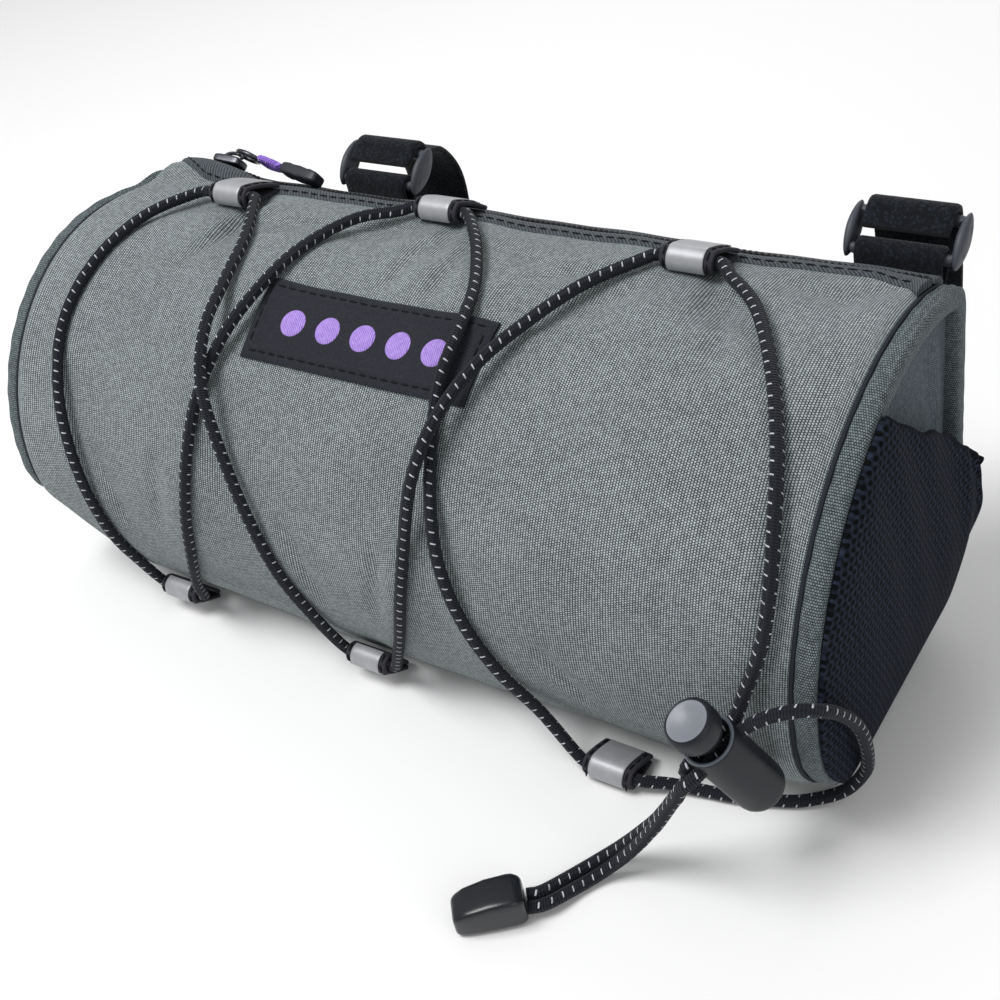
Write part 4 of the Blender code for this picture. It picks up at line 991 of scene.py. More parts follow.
def lacing_route(spacing):
    """The lacing from the lock, through the six loops and back to the lock."""
    foot, axis, way, across = lock_frame()
    hole = foot + axis * SLOT_MIDDLE
    left, right = hole - across * STRAND_SPACING / 2, hole + across * STRAND_SPACING / 2
    passes = [("top_loop_right", 1), ("bottom_loop_middle", 1), ("top_loop_left", 1),
              ("bottom_loop_left", -1), ("top_loop_middle", -1), ("bottom_loop_right", -1)]
    route = [left - way * GAP / 2, left - way * (LOCK_RADIUS + LOCK_EXIT)]
    for rows, (loop, side) in zip(STRANDS.values(), passes):
        along, angle, lift = np.array(rows).T
        route += [*skin(along, angle, CORD / 2 + CORD_LIFT + lift, None), *loop_pass(loop, side)]
    route += [*SLACK, right - way * (LOCK_RADIUS + LOCK_EXIT), right - way * GAP / 2]
    return smooth_route(route, spacing)


@functools.cache
def low_cord():
    """Where the lacing lies on the cloth, less than a third of its thickness above it, in millimetres."""
    table = np.concatenate([smooth_route(strand, 2.0) for strand in STRANDS.values()])
    table = table[table[:, 2] < LYING]
    return np.stack([table[:, 0], np.radians(table[:, 1]) * RADIUS], -1)


def tail_routes(spacing):
    """The two tail strands side by side, from the lock to the cord end."""
    foot, axis, way, across = lock_frame()
    hole = foot + axis * SLOT_MIDDLE
    inward = np.array([*unit(CORD_END_WAY), 0.0])
    mouth = np.array([*CORD_END_MOUTH, CORD / 2 - AXIS_HEIGHT + TAIL_RISE])
    middle = smooth_route([hole + way * GAP / 2, hole + way * (LOCK_RADIUS + TAIL_EXIT), *TAIL,
                           mouth - inward * TAIL_LEAD, mouth - inward * GAP], spacing)
    ahead = np.gradient(middle, axis=0)
    level = unit(np.cross(Z_WAY, ahead))
    steep = np.clip(1.0 - travelled(middle) / (LOCK_RADIUS + 4.0), 0.0, 1.0)[:, None]
    level = unit(level * (1.0 - steep) + across * np.sign(across @ level[len(level) // 3]) * steep)
    return [middle + level * side * STRAND_SPACING / 2 for side in (-1, 1)]


def radial(path):
    """Outward way from the bag's axis at each point."""
    return unit(path * (0.0, 1.0, 1.0))


def stitches(name, path, up, material, **kind):
    """A seam of separate stitches: small beads of thread laid along a path."""
    s = sizes()
    at = travelled(path)
    middle = np.arange(0.5 * s.stitch_step / MM, at[-1] - 0.4 * s.stitch_step / MM, s.stitch_step / MM)
    ways = frames_of(path, up)
    places = np.stack([np.interp(middle, at, path[:, k]) for k in range(3)], -1)
    nearest = np.clip(np.searchsorted(at, middle), 0, len(path) - 1)
    template, faces = bead((s.stitch / MM / 2, 0.27, 0.22))
    return copies(name, template, faces, places, ways[nearest], material, **kind)


# Operators: one for each piece or group of pieces

class BAG_OT_stage(bpy.types.Operator):
    """Make the pale floor, the soft lights and the camera"""
    bl_idname = "bag.stage"
    bl_label = "Stage"

    def execute(self, context):
        scene = context.scene
        scene.view_settings.view_transform = "Standard"
        # Matt paper: coated board, without a shine, and very slightly uneven in tone
        floor_material, tree = start("matt paper", Roughness=0.9)
        tone = add(tree, "TexNoise", sockets={"Vector": add(tree, "TexCoord", output=3), "Scale": 3.0})
        base = add(tree, "Mix", sockets={0: tone, 6: linear("#eeeeee"), 7: linear("#f2f2f2")}, output=2,
                   data_type="RGBA")
        tree.links.new(base, tree.nodes["Principled BSDF"].inputs["Base Color"])
        mesh = bpy.data.meshes.new("floor")
        half, low = FLOOR_HALF, FLOOR_HEIGHT
        mesh.from_pydata([(-half, -half, low), (half, -half, low), (half, half, low), (-half, half, low)], [],
                         [(0, 1, 2, 3)])
        mesh.materials.append(floor_material)
        floor = bpy.data.objects.new("floor", mesh)
        scene.collection.objects.link(floor)

        world = bpy.data.worlds.new("soft white")
        world.use_nodes = True
        sky = world.node_tree.nodes["Background"]
        sky.inputs[0].default_value = (1.0, 1.0, 1.0, 1.0)
        sky.inputs[1].default_value = SKY_STRENGTH
        scene.world = world
        for name, at, size, power in LAMPS:
            light = bpy.data.lights.new(name, "AREA")
            light.size = size
            light.energy = power
            lamp = bpy.data.objects.new(name, light)
            lamp.location = at
            back = unit(np.array(at) - LAMPS_AIM)
            side = unit(np.cross(Z_WAY, back))
            ways = np.stack([side, np.cross(back, side), back], 1)
            lamp.rotation_euler = Matrix(ways.tolist()).to_euler()
            scene.collection.objects.link(lamp)

        camera = bpy.data.cameras.new("camera")
        camera.lens = CAMERA_LENS
        camera.sensor_width = 36.0
        camera.clip_start = 0.01
        viewer = bpy.data.objects.new("camera", camera)
        right, up = unit(CAMERA_RIGHT), unit(CAMERA_UP)
        ways = np.stack([right, up, np.cross(right, up), CAMERA_AT], 1)
        viewer.matrix_world = Matrix([*ways.tolist(), [0.0, 0.0, 0.0, 1.0]])
        scene.collection.objects.link(viewer)
        scene.camera = viewer
        return {"FINISHED"}


class BAG_OT_cords(bpy.types.Operator):
    """Make the elastic lacing, its two free strands and the moulded cord end"""
    bl_idname = "bag.cords"
    bl_label = "Cords"

    def execute(self, context):
        sleeve = look("elastic braid")
        route = lacing_route(1.2)
        tube("lacing", route, CORD / 2, radial(route), sleeve, nodes=("bungee_lacing",), slot="bungee")

        inward = np.array([*unit(CORD_END_WAY), 0.0])
        side = np.cross(Z_WAY, inward)
        long, _, tall = CORD_END_SIZE
        centre = np.array([*CORD_END_MOUTH, -AXIS_HEIGHT + CORD_END_LIFT + tall / 2]) + inward * long / 2

        def wedge(x):
            """Wider and taller a third of the way along, tapering to the tip, and flat underneath."""
            share, wide, high = CORD_END_SHAPE.T
            height = np.interp(x, share, high)
            return np.interp(x, share, wide), height, height - 1.0

        end = soft_block("cord_end_wedge", centre, (inward, side, Z_WAY), CORD_END_SIZE, (0.22, 0.30),
                         look("glossy nylon"), shape=wedge, nodes=("cord_end",), slot="black_moulding")
        for name, path in zip("ab", tail_routes(1.0)):
            strand = tube(f"tail_{name}", path, CORD / 2, Z_WAY, sleeve,
                          nodes=(f"tail_strand_{name}",), slot="bungee")
        return {"FINISHED"}


class BAG_OT_shell(bpy.types.Operator):
    """Make the padded wrap with its folds, its edges rolled in at the end seams"""
    bl_idname = "bag.shell"
    bl_label = "Padded wrap"

    def execute(self, context):
        along = np.linspace(-HALF + SEAM_GROOVE / 2, HALF - SEAM_GROOVE / 2, 216)
        rear = ZIP_FRONT_ANGLE + ZIP_TAPE_ANGLE + ZIP_COIL_ANGLE + ZIP_REAR_ANGLE - 360.0
        front = edge_angle(along, ZIP_EDGE)[:, None]
        angles = front + (rear - front) * np.linspace(0, 1, 208)[None, :]
        along = along[:, None]
        rolled = EDGE_ROLL * np.exp(-((HALF - np.abs(along)) / EDGE_ROLL_WIDTH) ** 2)
        outer = skin(along, angles, -rolled)
        inner = skin(along, angles, -WALL, detail="main")
        wrap = slab("wrap", outer, inner, look("melange polyester"), nodes=("body_panel",), slot="bag_fabric")
        return {"FINISHED"}


class BAG_OT_zip(bpy.types.Operator):
    """Make the zip: ribbed bindings, coil turns, seams, slider, ring, cord loop and grip"""
    bl_idname = "bag.zip"
    bl_label = "Zip"

    def band(self, name, along, begin, end, rise, material, **kind):
        """A soft band along the bag between two angles, arched by the square root of a parabola."""
        across = np.linspace(0, 1, 13)
        angles = begin[:, None] + (end - begin)[:, None] * across
        along = along[:, None]
        arch = rise * np.sqrt(np.clip(4 * across * (1 - across), 0.02, 1.0))
        outer, inner = skin(along, angles, arch), skin(along, angles, -BAND_SINK, detail="main")
        slab(name, outer, inner, material, **kind)

    def execute(self, context):
        coil_front = ZIP_FRONT_ANGLE + ZIP_TAPE_ANGLE
        coil_rear = coil_front + ZIP_COIL_ANGLE
        along = np.linspace(-HALF + BAND_INSET, HALF - BAND_INSET, 200)
        end = np.maximum(coil_front, edge_angle(along, ZIP_EDGE) + BINDING_OVERLAP)
        self.band("binding_front", along, edge_angle(along, BINDING_EDGE), end, BINDING_RISE,
                  look("ribbed binding"), nodes=("zip_tape_front",), slot="zip_tape")
        rear = np.full_like(along, coil_rear)
        for name, begin, end, rise, cloth, nodes in REAR_BANDS:
            self.band(name, along, rear + begin, rear + end, rise, look(cloth), nodes=nodes, slot="zip_tape")

        step = sizes().coil_step / MM
        turns = np.arange(-HALF + 2.0, HALF - 2.0, step)
        middle = coil_front + ZIP_COIL_ANGLE / 2
        centres = skin(turns, middle, 0.1, detail="main")
        up = unit(skin(turns, middle, 1.0, detail="main") - skin(turns, middle, 0.0, detail="main"))
        ahead = np.tile(X_WAY, (len(turns), 1))
        template, faces = bead((step * 0.42, 1.45, 0.75))
        copies("coil_turns", template, faces, centres, np.stack([ahead, np.cross(up, ahead), up], 1),
               look("nylon coil"), nodes=("zip_coil",), slot="zip_coil")

        along = np.linspace(-HALF + 1.5, HALF - 1.5, 400)
        thread = look("black thread")
        seams = (("seam_zip_front", edge_angle(along, BINDING_EDGE), FRONT_SEAM),
                 ("seam_zip_rear", coil_rear, REAR_SEAM))
        for name, angle, (behind, lift) in seams:
            path = skin(along, angle + behind, lift)
            stitches(name, path, radial(path), thread, slot="zip_tape")
        self.pull()
        return {"FINISHED"}

    def pull(self):
        """The slider with its bridge, and the ring, cord loop and grip that lie beside it."""
        metal = look("gunmetal")
        angle = ZIP_FRONT_ANGLE + ZIP_TAPE_ANGLE + ZIP_COIL_ANGLE / 2
        way = X_WAY
        foot = skin(SLIDER_ALONG, angle, 0.0, detail="main")
        up = unit(skin(SLIDER_ALONG, angle, 1.0, detail="main") - foot)
        across = np.cross(up, way)
        top = COIL_RISE + GAP + SLIDER_SIZE[2]
        centre = foot + up * (top - SLIDER_SIZE[2] / 2)
        soft_block("slider_plate", centre, (way, across, up), SLIDER_SIZE, (0.3, 0.35), metal,
                   shape=lambda x: (1.0 - 0.18 * x, 0.85 - 0.15 * x * x, 0.0),
                   nodes=("zip_slider",), slot="dark_metal")
        t = np.linspace(0, math.pi, 24)[:, None]
        bridge = foot + up * top + way * np.cos(t) * BRIDGE_REACH + up * np.sin(t) * BRIDGE_RISE
        tube("slider_bridge", bridge, BRIDGE_RADIUS, across, metal, 10, slot="dark_metal")

        ring_at = foot + up * (top + GAP + PULL_RING_SIZE[2] / 2) + way * (SLIDER_SIZE[0] / 2 + 1.0)
        fall = math.radians(PULL_FALL)
        way, up = way * math.cos(fall) - up * math.sin(fall), up * math.cos(fall) + way * math.sin(fall)
        half = PULL_RING_SIZE[2] / 2
        long_half, wide_half = PULL_RING_SIZE[0] / 2 - half, PULL_RING_SIZE[1] / 2 - half
        turn = circle(64)[:, None, None]
        small = circle(14)[None, :, None]
        out = np.cos(turn) * way + np.sin(turn) * across
        line = ring_at + np.cos(turn) * way * long_half + np.sin(turn) * across * wide_half
        points = line + out * np.cos(small) * half + up * np.sin(small) * half
        closed_grid("ring", points, metal, wrap_rows=True, nodes=("pull_ring",), slot="dark_metal")

        begin = ring_at + way * (long_half + half + PULL_LOOP_THICKNESS / 2 + GAP)
        end = begin + way * PULL_LOOP_LENGTH
        side = across * PULL_LOOP_WIDTH / 2
        path = smooth_route([begin, begin + way * PULL_LOOP_LENGTH * 0.14 + side,
                             begin + way * PULL_LOOP_LENGTH * 0.6 + side, end + side * 0.55], 0.4)
        other = path - 2 * ((path - begin) @ across)[:, None] * across
        whole = np.concatenate([path, other[::-1]])
        tube("purple_loop", whole[:-1], PULL_LOOP_THICKNESS / 2, up, look("purple braid"), 12,
             nodes=("pull_loop",), slot="purple_cord")
        centre = end + way * (PULL_GRIP_SIZE[0] / 2 + PULL_LOOP_THICKNESS / 2 + GAP)
        soft_block("grip", centre, (way, across, up), PULL_GRIP_SIZE, (0.35, 0.4), look("moulded nylon"),
                   shape=lambda x: (0.92 + 0.08 * x, 0.94 + 0.06 * np.cos(x * 22.0) * (np.abs(x) < 0.6), 0.0),
                   nodes=("pull_grip",), slot="black_moulding")


class BAG_OT_ends(bpy.types.Operator):
    """Make the piping and the creased panel of each end"""
    bl_idname = "bag.ends"
    bl_label = "Ends"

    def execute(self, context):
        for side, name in SIDES:
            self.piping(side, name)
            self.panel(side, name)
        return {"FINISHED"}

    def piping(self, side, name):
        """A folded binding: a soft-cornered bar carried round the section, puckered by its stitches.

        A Gaussian of the angle brings in ribs along it where it is folded over at the top back.
        """
        angles = np.linspace(-180, 180, 260, endpoint=False)
        start_at = HALF + SEAM_GROOVE / 2
        middle = side * (start_at + PIPING_WIDTH / 2)
        inner = skin(middle, angles, -PIPING_DEPTH / 2, "main")
        out = unit(skin(middle, angles, 0.0, "main") - inner)
        turn = circle(28)
        across = squared(np.sin(turn), PIPING_SQUARENESS) * PIPING_WIDTH / 2
        outward = squared(np.cos(turn), PIPING_SQUARENESS) * PIPING_DEPTH / 2
        corner = np.exp(-((angles - PIPING_RIBS_ANGLE) / PIPING_RIBS_WIDTH) ** 2)[:, None]
        ribs = corner * PIPING_RIB * np.cos(across * PIPING_RIBS)[None] * (outward > 0)[None]
        pucker = PIPING_PUCKER * np.sin(np.radians(angles) * PIPING_PUCKERS)[:, None] * (outward > 0)[None]
        points = (inner[:, None] + out[:, None] * (outward[None] + ribs + pucker)[..., None]
                  + side * X_WAY * across[None, :, None])
        closed_grid(f"binding_end_{name}", points, look("end binding"), wrap_rows=True,
                    nodes=(f"piping_{name}",), slot="piping")
        # painted shadow: a dark grey cord sunk in the seam's groove stands in for the shade in it
        seam = skin(side * (HALF + GAP / 2), angles, -END_SEAM_SINK, "main")
        seam = np.concatenate([seam, seam[:1]])
        tube(f"seam_shadow_end_{name}", seam, END_SEAM_RADIUS, radial(seam), look("grey thread and groove shade"), 8, slot="piping")

    def panel(self, side, name):
        """A crowned panel: rings shrinking to the centre, with straight creases pressed into it.

        The crown is a parabola of the share out from the centre, and a crease is a Gaussian across its line.
        """
        start_at = HALF + SEAM_GROOVE / 2
        middle = side * (start_at + PIPING_WIDTH / 2)
        face_at = start_at + PIPING_WIDTH - END_PANEL_RECESS
        angles = np.linspace(-180, 180, 200, endpoint=False)
        rim = skin(middle, angles, -PIPING_DEPTH * 0.8, "main")
        centre = rim.mean(axis=0)
        share = np.linspace(0.015, 1.0, 60)[:, None, None]
        grid = centre + (rim - centre)[None] * share
        relief_at = np.zeros(grid.shape[:2])
        for y1, z1, y2, z2, width, deep in PANEL_CREASES:
            span = math.hypot(y2 - y1, z2 - z1)
            cos, sin = (y2 - y1) / span, (z2 - z1) / span
            t = ((grid[..., 1] - y1) * cos + (grid[..., 2] - z1) * sin) / span
            off = (grid[..., 1] - y1) * -sin + (grid[..., 2] - z1) * cos
            fade = np.clip(1 - (2 * np.abs(t - 0.5)) ** 4, 0, 1)
            relief_at += deep * np.exp(-(2 * off / width) ** 2) * fade
        flat = 1.0 - share[..., 0] ** 8
        outer, inner = grid.copy(), grid.copy()
        outer[..., 0] = side * (face_at + END_PANEL_CROWN * (1 - share[..., 0] ** 2) - relief_at * flat * 0.6)
        outer[..., 0] += end_pull(middle, angles)[None] * share[..., 0] ** 2
        inner[..., 0] = outer[..., 0] - side * END_PANEL_THICKNESS * 0.6
        points = np.concatenate([outer, inner[::-1]])
        faces, _ = grid_parts(points, np.arange(len(points)), np.arange(len(angles) + 1), False, True)
        for first in (0, (len(points) - 1) * len(angles)):
            faces.append(list(range(first, first + len(angles))))
        flat_points = points.reshape(-1, 3)
        uv = flat_points[np.concatenate(faces)][:, 1:] * MM
        put(f"panel_{name}", flat_points, faces, uv, look("end polyester"),
            nodes=(f"end_panel_{name}",), slot="end_fabric")


class BAG_OT_pocket(bpy.types.Operator):
    """Make the gathered mesh pocket and its bound mouth"""
    bl_idname = "bag.pocket"
    bl_label = "Mesh pocket"

    def execute(self, context):
        columns, rows = 190, 70
        around = np.linspace(POCKET_FRONT_ANGLE, POCKET_BACK_ANGLE, columns)
        seam = skin(HALF + PIPING_WIDTH / 2, around, -1.4, None)
        seam[:, 0] = HALF + SEAM_GROOVE / 2 + PIPING_WIDTH + GAP
        u = np.linspace(0, 1, columns)
        v = np.linspace(0, 1, rows)[:, None]
        mouth = seam[0] * (1 - u[:, None]) + seam[-1] * u[:, None]
        grid = seam[None] * (1 - v[..., None]) + mouth[None] * v[..., None]
        y, z = grid[..., 1] - seam[-1, 1], grid[..., 2] - seam[-1, 2]
        near_back = np.exp(-((y / 20.0) ** 2 + ((z + 4.0) / 20.0) ** 2))
        # u runs round the seam and v from the seam to the mouth. The fullness is a half sine of both, and
        # gathers and pleats are sines round the seam that a Gaussian keeps to its back end
        full = POCKET_FULLNESS * np.sin(math.pi * np.minimum(v, 0.5)) ** 0.7 * np.sin(math.pi * u) ** 0.5
        slack = 0.3 * np.sin(grid[..., 1] * 0.45 + grid[..., 2] * 0.12) * v
        gather = 0.55 * np.sin(u * 150.0) * np.exp(-((u - 0.93) / 0.10) ** 2)
        gather = gather * np.sin(math.pi * np.minimum(v + 0.12, 0.5))
        pleat = 0.9 * np.sin(u * 62.0 + v * 2.0) * np.exp(-((u - 0.88) / 0.13) ** 2)
        pleat = pleat * np.sin(math.pi * np.minimum(v, 0.5))
        corner = 1.0 - np.exp(-(np.hypot(y, z) / 4.5) ** 2)
        rise = full + (POCKET_GAPE * near_back * (0.25 + 0.75 * v) + slack + gather + pleat) * corner
        wavy = 1.3 * np.sin(u * math.pi * 2.6 + 0.4) + 0.5 * np.sin(u * 31.0)
        grid[..., 2] -= v * wavy * np.sin(math.pi * u) ** 0.4
        outer, inner = grid.copy(), grid.copy()
        outer[..., 0] += rise + POCKET_THICKNESS * 0.7
        inner[..., 0] += rise
        mesh = look("pocket mesh")
        sheet = slab("pocket_sheet", outer, inner, mesh, nodes=("mesh_pocket",), slot="navy_mesh")
        flat_uv(sheet)
        # the cut is a D, so its area is less than that of the rectangle round it
        hem = even((outer[-1] + inner[-1]) / 2, 120)
        radius = 0.55 * np.sin(np.linspace(0.15, math.pi - 0.15, 120)) ** 0.2
        tube("pocket_hem", hem, radius, X_WAY, mesh, 10, slot="navy_mesh")
        return {"FINISHED"}


class BAG_OT_label(bpy.types.Operator):
    """Make the black label with its stitched border and a plain row of purple dots"""
    bl_idname = "bag.label"
    bl_label = "Label"

    def execute(self, context):
        along = np.linspace(*LABEL_ALONG, 130)[:, None]
        angles = np.linspace(*LABEL_ANGLES, 44)[None]
        edge = np.minimum(np.minimum(along - LABEL_ALONG[0], LABEL_ALONG[1] - along),
                          np.radians(np.minimum(angles - LABEL_ANGLES[0], LABEL_ANGLES[1] - angles)) * RADIUS)
        # A square root of the distance from the edge rounds it, and a Gaussian raises a border inside it
        top = GAP + LABEL_THICKNESS * (0.55 + 0.45 * np.clip(edge / 0.8, 0, 1) ** 0.5)
        top = top + 0.22 * np.exp(-((edge - 3.0) / 0.7) ** 2)
        slab("label", skin(along, angles, top), skin(along, angles, 0.1), look("label satin"),
             nodes=("label_patch",), slot="label")
        turn = math.degrees(LABEL_SEAM_INSET / RADIUS)
        x1, x2 = LABEL_ALONG[0] + LABEL_SEAM_INSET, LABEL_ALONG[1] - LABEL_SEAM_INSET
        a1, a2 = LABEL_ANGLES[0] + turn, LABEL_ANGLES[1] - turn
        corners = [(x1, a1), (x2, a1), (x2, a2), (x1, a2)]
        for count, (p, q) in enumerate(zip(corners, corners[1:] + corners[:1])):
            t = np.linspace(0, 1, 160)
            path = skin(p[0] + (q[0] - p[0]) * t, p[1] + (q[1] - p[1]) * t, GAP + LABEL_THICKNESS + 0.12)
            stitches(f"label_seam_{count + 1}", path, radial(path), look("black thread"), slot="label")
        share = np.linspace(0.02, 1.0, 14)[:, None]
        turn = circle(48)[None]
        for count in range(5):
            middle = sum(LABEL_ALONG) / 2 + (count - 2) * DOT_STEP
            x = middle + DOT_RADIUS * share * np.cos(turn)
            angle = sum(LABEL_ANGLES) / 2 + np.degrees(DOT_RADIUS * share * np.sin(turn) / RADIUS)
            dome = GAP + LABEL_THICKNESS + DOT_RISE * np.sqrt(np.clip(1 - share ** 4, 0, 1)) + 0 * turn
            points = np.concatenate([skin(x, angle, dome), skin(x, angle, GAP + 0.5)[::-1]])
            closed_grid(f"label_dot_{count + 1}", points, look("label embroidery"), slot="label")
        return {"FINISHED"}


class BAG_OT_loops(bpy.types.Operator):
    """Make the six webbing loops with their reflective strips and stitching"""
    bl_idname = "bag.loops"
    bl_label = "Webbing loops"

    def execute(self, context):
        for name in LOOPS:
            root, way, normal, reach = loop_place(name)
            low = WEBBING / 2 + GAP
            t = np.radians(np.arange(0, 181, 30))
            bend = np.stack([reach + LOOP_BEND * (np.sin(t) - 1), low + LOOP_BEND * (1 - np.cos(t))], -1)
            flat = np.concatenate([[(0.0, low), (reach * 0.35, low)], bend,
                                   [(reach * 0.38, low + 1.45 * LOOP_BEND), (-0.8, low + WEBBING * 0.9)]])
            path = smooth_route(root + flat[:, :1] * way + flat[:, 1:] * normal, 0.6)
            ribbon(f"{name}_webbing", path, LOOP_WIDTH, WEBBING, look("webbing"),
                   nodes=(name,), slot="webbing")
            out = np.cross(unit(np.gradient(path, axis=0)), X_WAY)
            at = travelled(path)
            tip = np.argmax((path - root) @ way)
            out = out if out[tip] @ way > 0 else -out
            shown = (at > at[tip] - 2.2) & (at < at[-1] - 0.4)
            strip = (path + out * (WEBBING / 2 + REFLECTIVE_THICKNESS / 2 + 0.02))[shown]
            side, place = name.split("_loop_")
            ribbon(f"{name}_silver", strip, REFLECTIVE_WIDTH, REFLECTIVE_THICKNESS, look("reflective tape"),
                   nodes=(f"{side}_strip_{place}",), slot="reflective")
            for end, word in SIDES:
                line = strip + X_WAY * end * (REFLECTIVE_WIDTH / 2 + 0.8) - out[shown] * 0.1
                stitches(f"{name}_seam_{word}", line, out[shown], look("black thread"), slot="webbing")
        return {"FINISHED"}


class BAG_OT_lock(bpy.types.Operator):
    """Make the barrel cord lock: a turned body and its dished button"""
    bl_idname = "bag.lock"
    bl_label = "Cord lock"

    def execute(self, context):
        foot, axis, _, _ = lock_frame()
        # Each row is a circle's radius and its height from the closed end
        r, bore, mouth = LOCK_RADIUS, LOCK_BORE, LOCK_BODY
        body = [(0.1, 0.0), (r - 1.9, 0.0), (r - 1.1, 0.2), (r - 0.5, 0.7), (r - 0.15, 1.5), (r, 2.6),
                (r, 5.5), (r, mouth - 0.9), (r - 0.12, mouth - 0.3), (r - 0.4, mouth), (bore + 0.4, mouth),
                (bore + 0.1, mouth - 0.3), (bore, mouth - 1.0), (bore, 4.0), (0.1, 3.6)]
        nylon = look("lock nylon")
        turned("lock_barrel", body, foot, axis, nylon, nodes=("lock_body",), slot="lock_plastic")
        # painted highlight: a pale ring round the barrel's mouth stands in for the light caught on the rim
        rim = [(bore + 0.35, mouth - 0.5), (r - 0.3, mouth - 0.6), (r - 0.12, mouth - 0.15),
               (r - 0.35, mouth + 0.12), (bore + 0.55, mouth + 0.12), (bore + 0.3, mouth - 0.1)]
        turned("lock_rim", rim, foot, axis, look("rim highlight nylon"), wrap_rows=True, slot="lock_plastic")
        b, face = BUTTON_RADIUS, LOCK_LENGTH
        neck, head = SLOT_MIDDLE + CORD / 2 + BUTTON_TRAVEL + 0.3, LOCK_BODY + BUTTON_TRAVEL + 0.3
        button = [(0.1, neck), (3.9, neck), (4.3, neck + 0.5), (4.3, head - 0.5), (4.6, head - 0.05),
                  (b - 0.5, head), (b - 0.1, head + 0.5), (b, head + 1.2), (b, face - 1.5),
                  (b - 0.12, face - 0.8), (b - 0.45, face - 0.25), (b - 0.8, face), (b - 1.0, face - 0.1),
                  (b - 1.3, face - 1.6), (0.1, face - 2.4)]
        turned("lock_head", button, foot, axis, nylon, nodes=("lock_button",), body="lock_button",
               slot="lock_plastic")
        # partly painted highlight: the face's pale grey holds the sheen of the light on the dish
        dish = [(0.1, face - 2.0), (b - 1.4, face - 1.2), (b - 0.95, face - 0.3), (b - 1.05, face - 0.12),
                (b - 1.3, face - 0.16)]
        dish += [(radius, face - 1.0 + 0.055 * radius ** 2) for radius in (3.7, 3.1, 2.5, 1.9, 1.3, 0.7, 0.1)]
        turned("lock_face", dish, foot, axis, look("button face sheen"), body="lock_button", slot="lock_plastic")
        return {"FINISHED"}


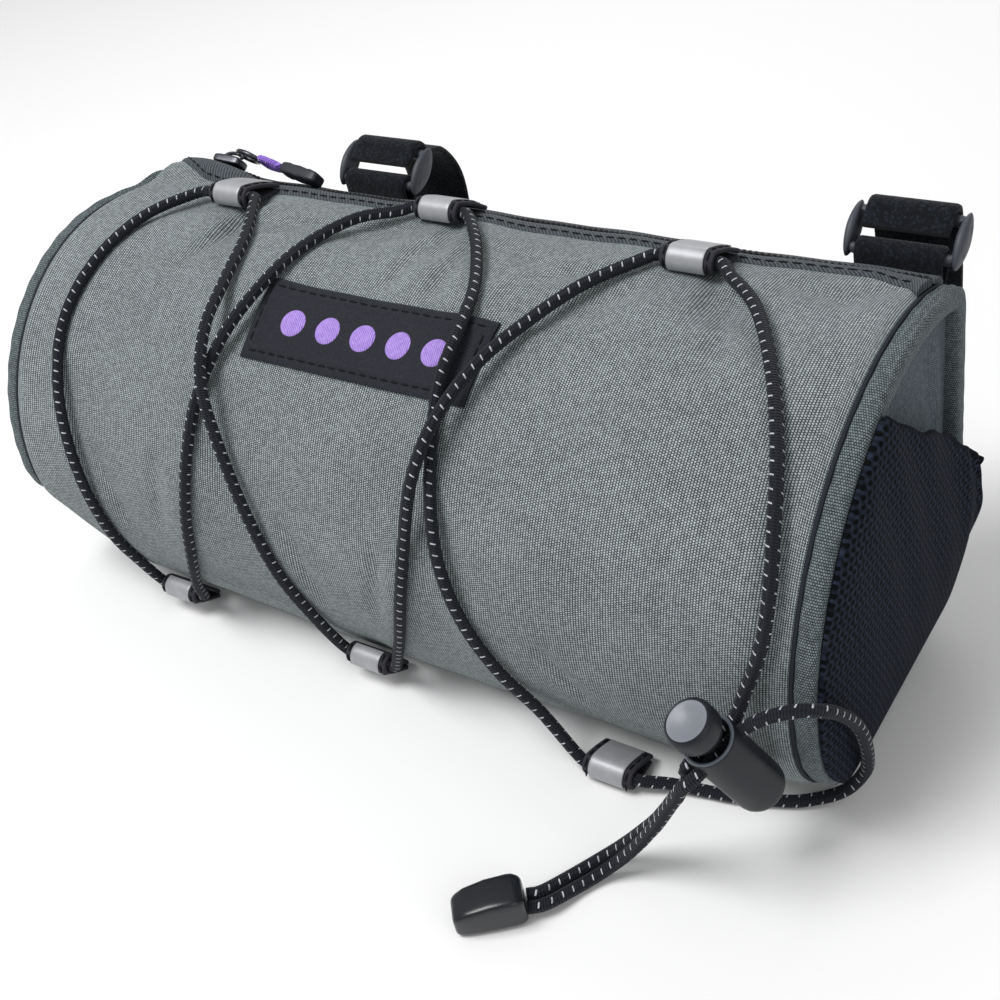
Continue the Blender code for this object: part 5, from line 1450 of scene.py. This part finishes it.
class BAG_OT_straps(bpy.types.Operator):
    """Make the two handlebar straps, their rings and the tabs that hold them"""
    bl_idname = "bag.straps"
    bl_label = "Straps"

    def execute(self, context):
        for name, (along, reach) in STRAPS.items():
            self.strap(name, along, reach)
        return {"FINISHED"}

    def strap(self, name, along, reach):
        """The strap with its fold over the ring and its seams, and the tab that holds the ring.

        Both are flat bars carried along a route of points out from the axis and up.
        """
        back = BACK_DEPTH + GAP + STRAP_THICKNESS / 2
        top, low = np.array(RING_TOP), np.array(RING_BOTTOM)
        lean = unit(top - low)
        out = np.array([-lean[1], lean[0]])
        bend = RING_BAR / 2 + GAP + STRAP_THICKNESS / 2
        t = np.radians(np.arange(0, 151, 30))[:, None]
        fold = np.concatenate([[top - lean * 5.0 + out * bend, top - lean * 1.5 + out * bend],
                               top + out * bend * np.cos(t) + lean * bend * np.sin(t)])
        # How far out and how high the strap is, from the ring over the bar's place and down to its sewn foot
        after = [(top[0] + reach * 0.55, top[1] - 4.0 + reach * 0.02), (top[0] + reach * 0.86, 47.0),
                 (top[0] + reach * 0.80, 33.0), (top[0] + reach * 0.30, 22.0), (back + 4.5, 15.0),
                 (back + 2.5, 8.0), (back + 2.4, -10.0)]
        line = np.concatenate([fold, after])
        path = smooth_route(np.column_stack([np.full(len(line), along), line]), 0.8)
        ribbon(f"strap_{name}_webbing", path, STRAP_WIDTH, STRAP_THICKNESS, look("strap pile"),
               nodes=(f"strap_{name}",), slot="strap")
        tab_bend = RING_BAR / 2 + GAP + WEBBING / 2
        tab_back = BACK_DEPTH + GAP + WEBBING / 2
        second = tab_back + WEBBING + GAP
        t = np.radians(np.arange(-20, 201, 36.7))[:, None]
        wrap = low + tab_bend * np.concatenate([-np.cos(t), np.sin(t)], 1)
        tab = np.concatenate([[(tab_back, -8.0), (tab_back, 20.0), (tab_back, 46.0)], wrap,
                              [(second + 0.3, 47.0), (second, 40.0)]])
        tab = smooth_route(np.column_stack([np.full(len(tab), along), tab]), 0.8)
        ribbon(f"tab_{name}_webbing", tab, STRAP_WIDTH, WEBBING, look("strap pile"),
               nodes=(f"strap_tab_{name}",), slot="strap")
        out_at = back + 2.45 + STRAP_THICKNESS / 2
        for height in (6.0, 3.0, -6.5):
            row = np.linspace((along - STRAP_WIDTH / 2 + 1.5, out_at, height),
                              (along + STRAP_WIDTH / 2 - 1.5, out_at, height), 60)
            stitches(f"strap_{name}_seam_{int(height * 10) + 100}", row, (0.0, 1.0, 0.0), look("grey thread and groove shade"),
                     slot="strap")
        self.ring(name, along, top, low, lean, out)

    def ring(self, name, along, top, low, lean, out):
        """A moulded ring: a round bar carried round a soft oblong, with a lens plate on each side."""
        nylon = look("ring nylon")
        half = STRAP_WIDTH / 2 + RING_SIDE / 2 + 2 * GAP
        span = np.linalg.norm(top - low) / 2
        lean3, out3 = np.array([0.0, *lean]), np.array([0.0, *out])
        centre = np.array([along, *((top + low) / 2)])
        turn = circle(120)
        x, y = half * squared(np.cos(turn), 0.22), span * squared(np.sin(turn), 0.22)
        line = centre + x[:, None] * X_WAY + y[:, None] * lean3
        sideways = unit(np.stack([np.cos(turn) ** 3, np.sin(turn) ** 3], -1))
        outward = sideways[:, :1] * X_WAY + sideways[:, 1:] * lean3
        small = circle(14)
        bar = RING_BAR / 2 * 0.92
        points = (line[:, None] + outward[:, None] * np.cos(small)[None, :, None] * bar
                  + out3 * np.sin(small)[None, :, None] * bar)
        closed_grid(f"ring_{name}", points, nylon, wrap_rows=True, nodes=(f"buckle_{name}",),
                    slot="ring_plastic")
        for side, word in SIDES:
            at = centre + side * (half + 0.1) * X_WAY
            soft_block(f"ring_{name}_plate_{word}", at, (lean3, out3, X_WAY),
                       (2 * span + 4.2, 6.4, 2.6), (1.15, 0.75), nylon, slot="ring_plastic")


class BAG_PT_panel(bpy.types.Panel):
    """Lists the bag's sizes, colours and pieces"""
    bl_idname = "BAG_PT_panel"
    bl_label = "Laced handlebar bag"
    bl_space_type = "VIEW_3D"
    bl_region_type = "UI"
    bl_category = "Bag"

    def draw(self, context):
        for group in (context.scene.bag_sizes, context.scene.bag_colours):
            for key in group.__annotations__:
                self.layout.prop(group, key)
        for piece in PIECES:
            self.layout.operator(piece.bl_idname)


PIECES = (BAG_OT_stage, BAG_OT_cords, BAG_OT_shell, BAG_OT_zip, BAG_OT_ends, BAG_OT_pocket, BAG_OT_label,
          BAG_OT_loops, BAG_OT_lock, BAG_OT_straps)
CLASSES = (BagSizes, BagColours, *PIECES, BAG_PT_panel)


def register():
    for kind in CLASSES:
        bpy.utils.register_class(kind)
    bpy.types.Scene.bag_sizes = bpy.props.PointerProperty(type=BagSizes)
    bpy.types.Scene.bag_colours = bpy.props.PointerProperty(type=BagColours)


def unregister():
    del bpy.types.Scene.bag_sizes
    del bpy.types.Scene.bag_colours
    for kind in reversed(CLASSES):
        bpy.utils.unregister_class(kind)


def main():
    register()
    for piece in PIECES:
        group, name = piece.bl_idname.split(".")
        getattr(getattr(bpy.ops, group), name)()


if __name__ == "__main__":
    main()
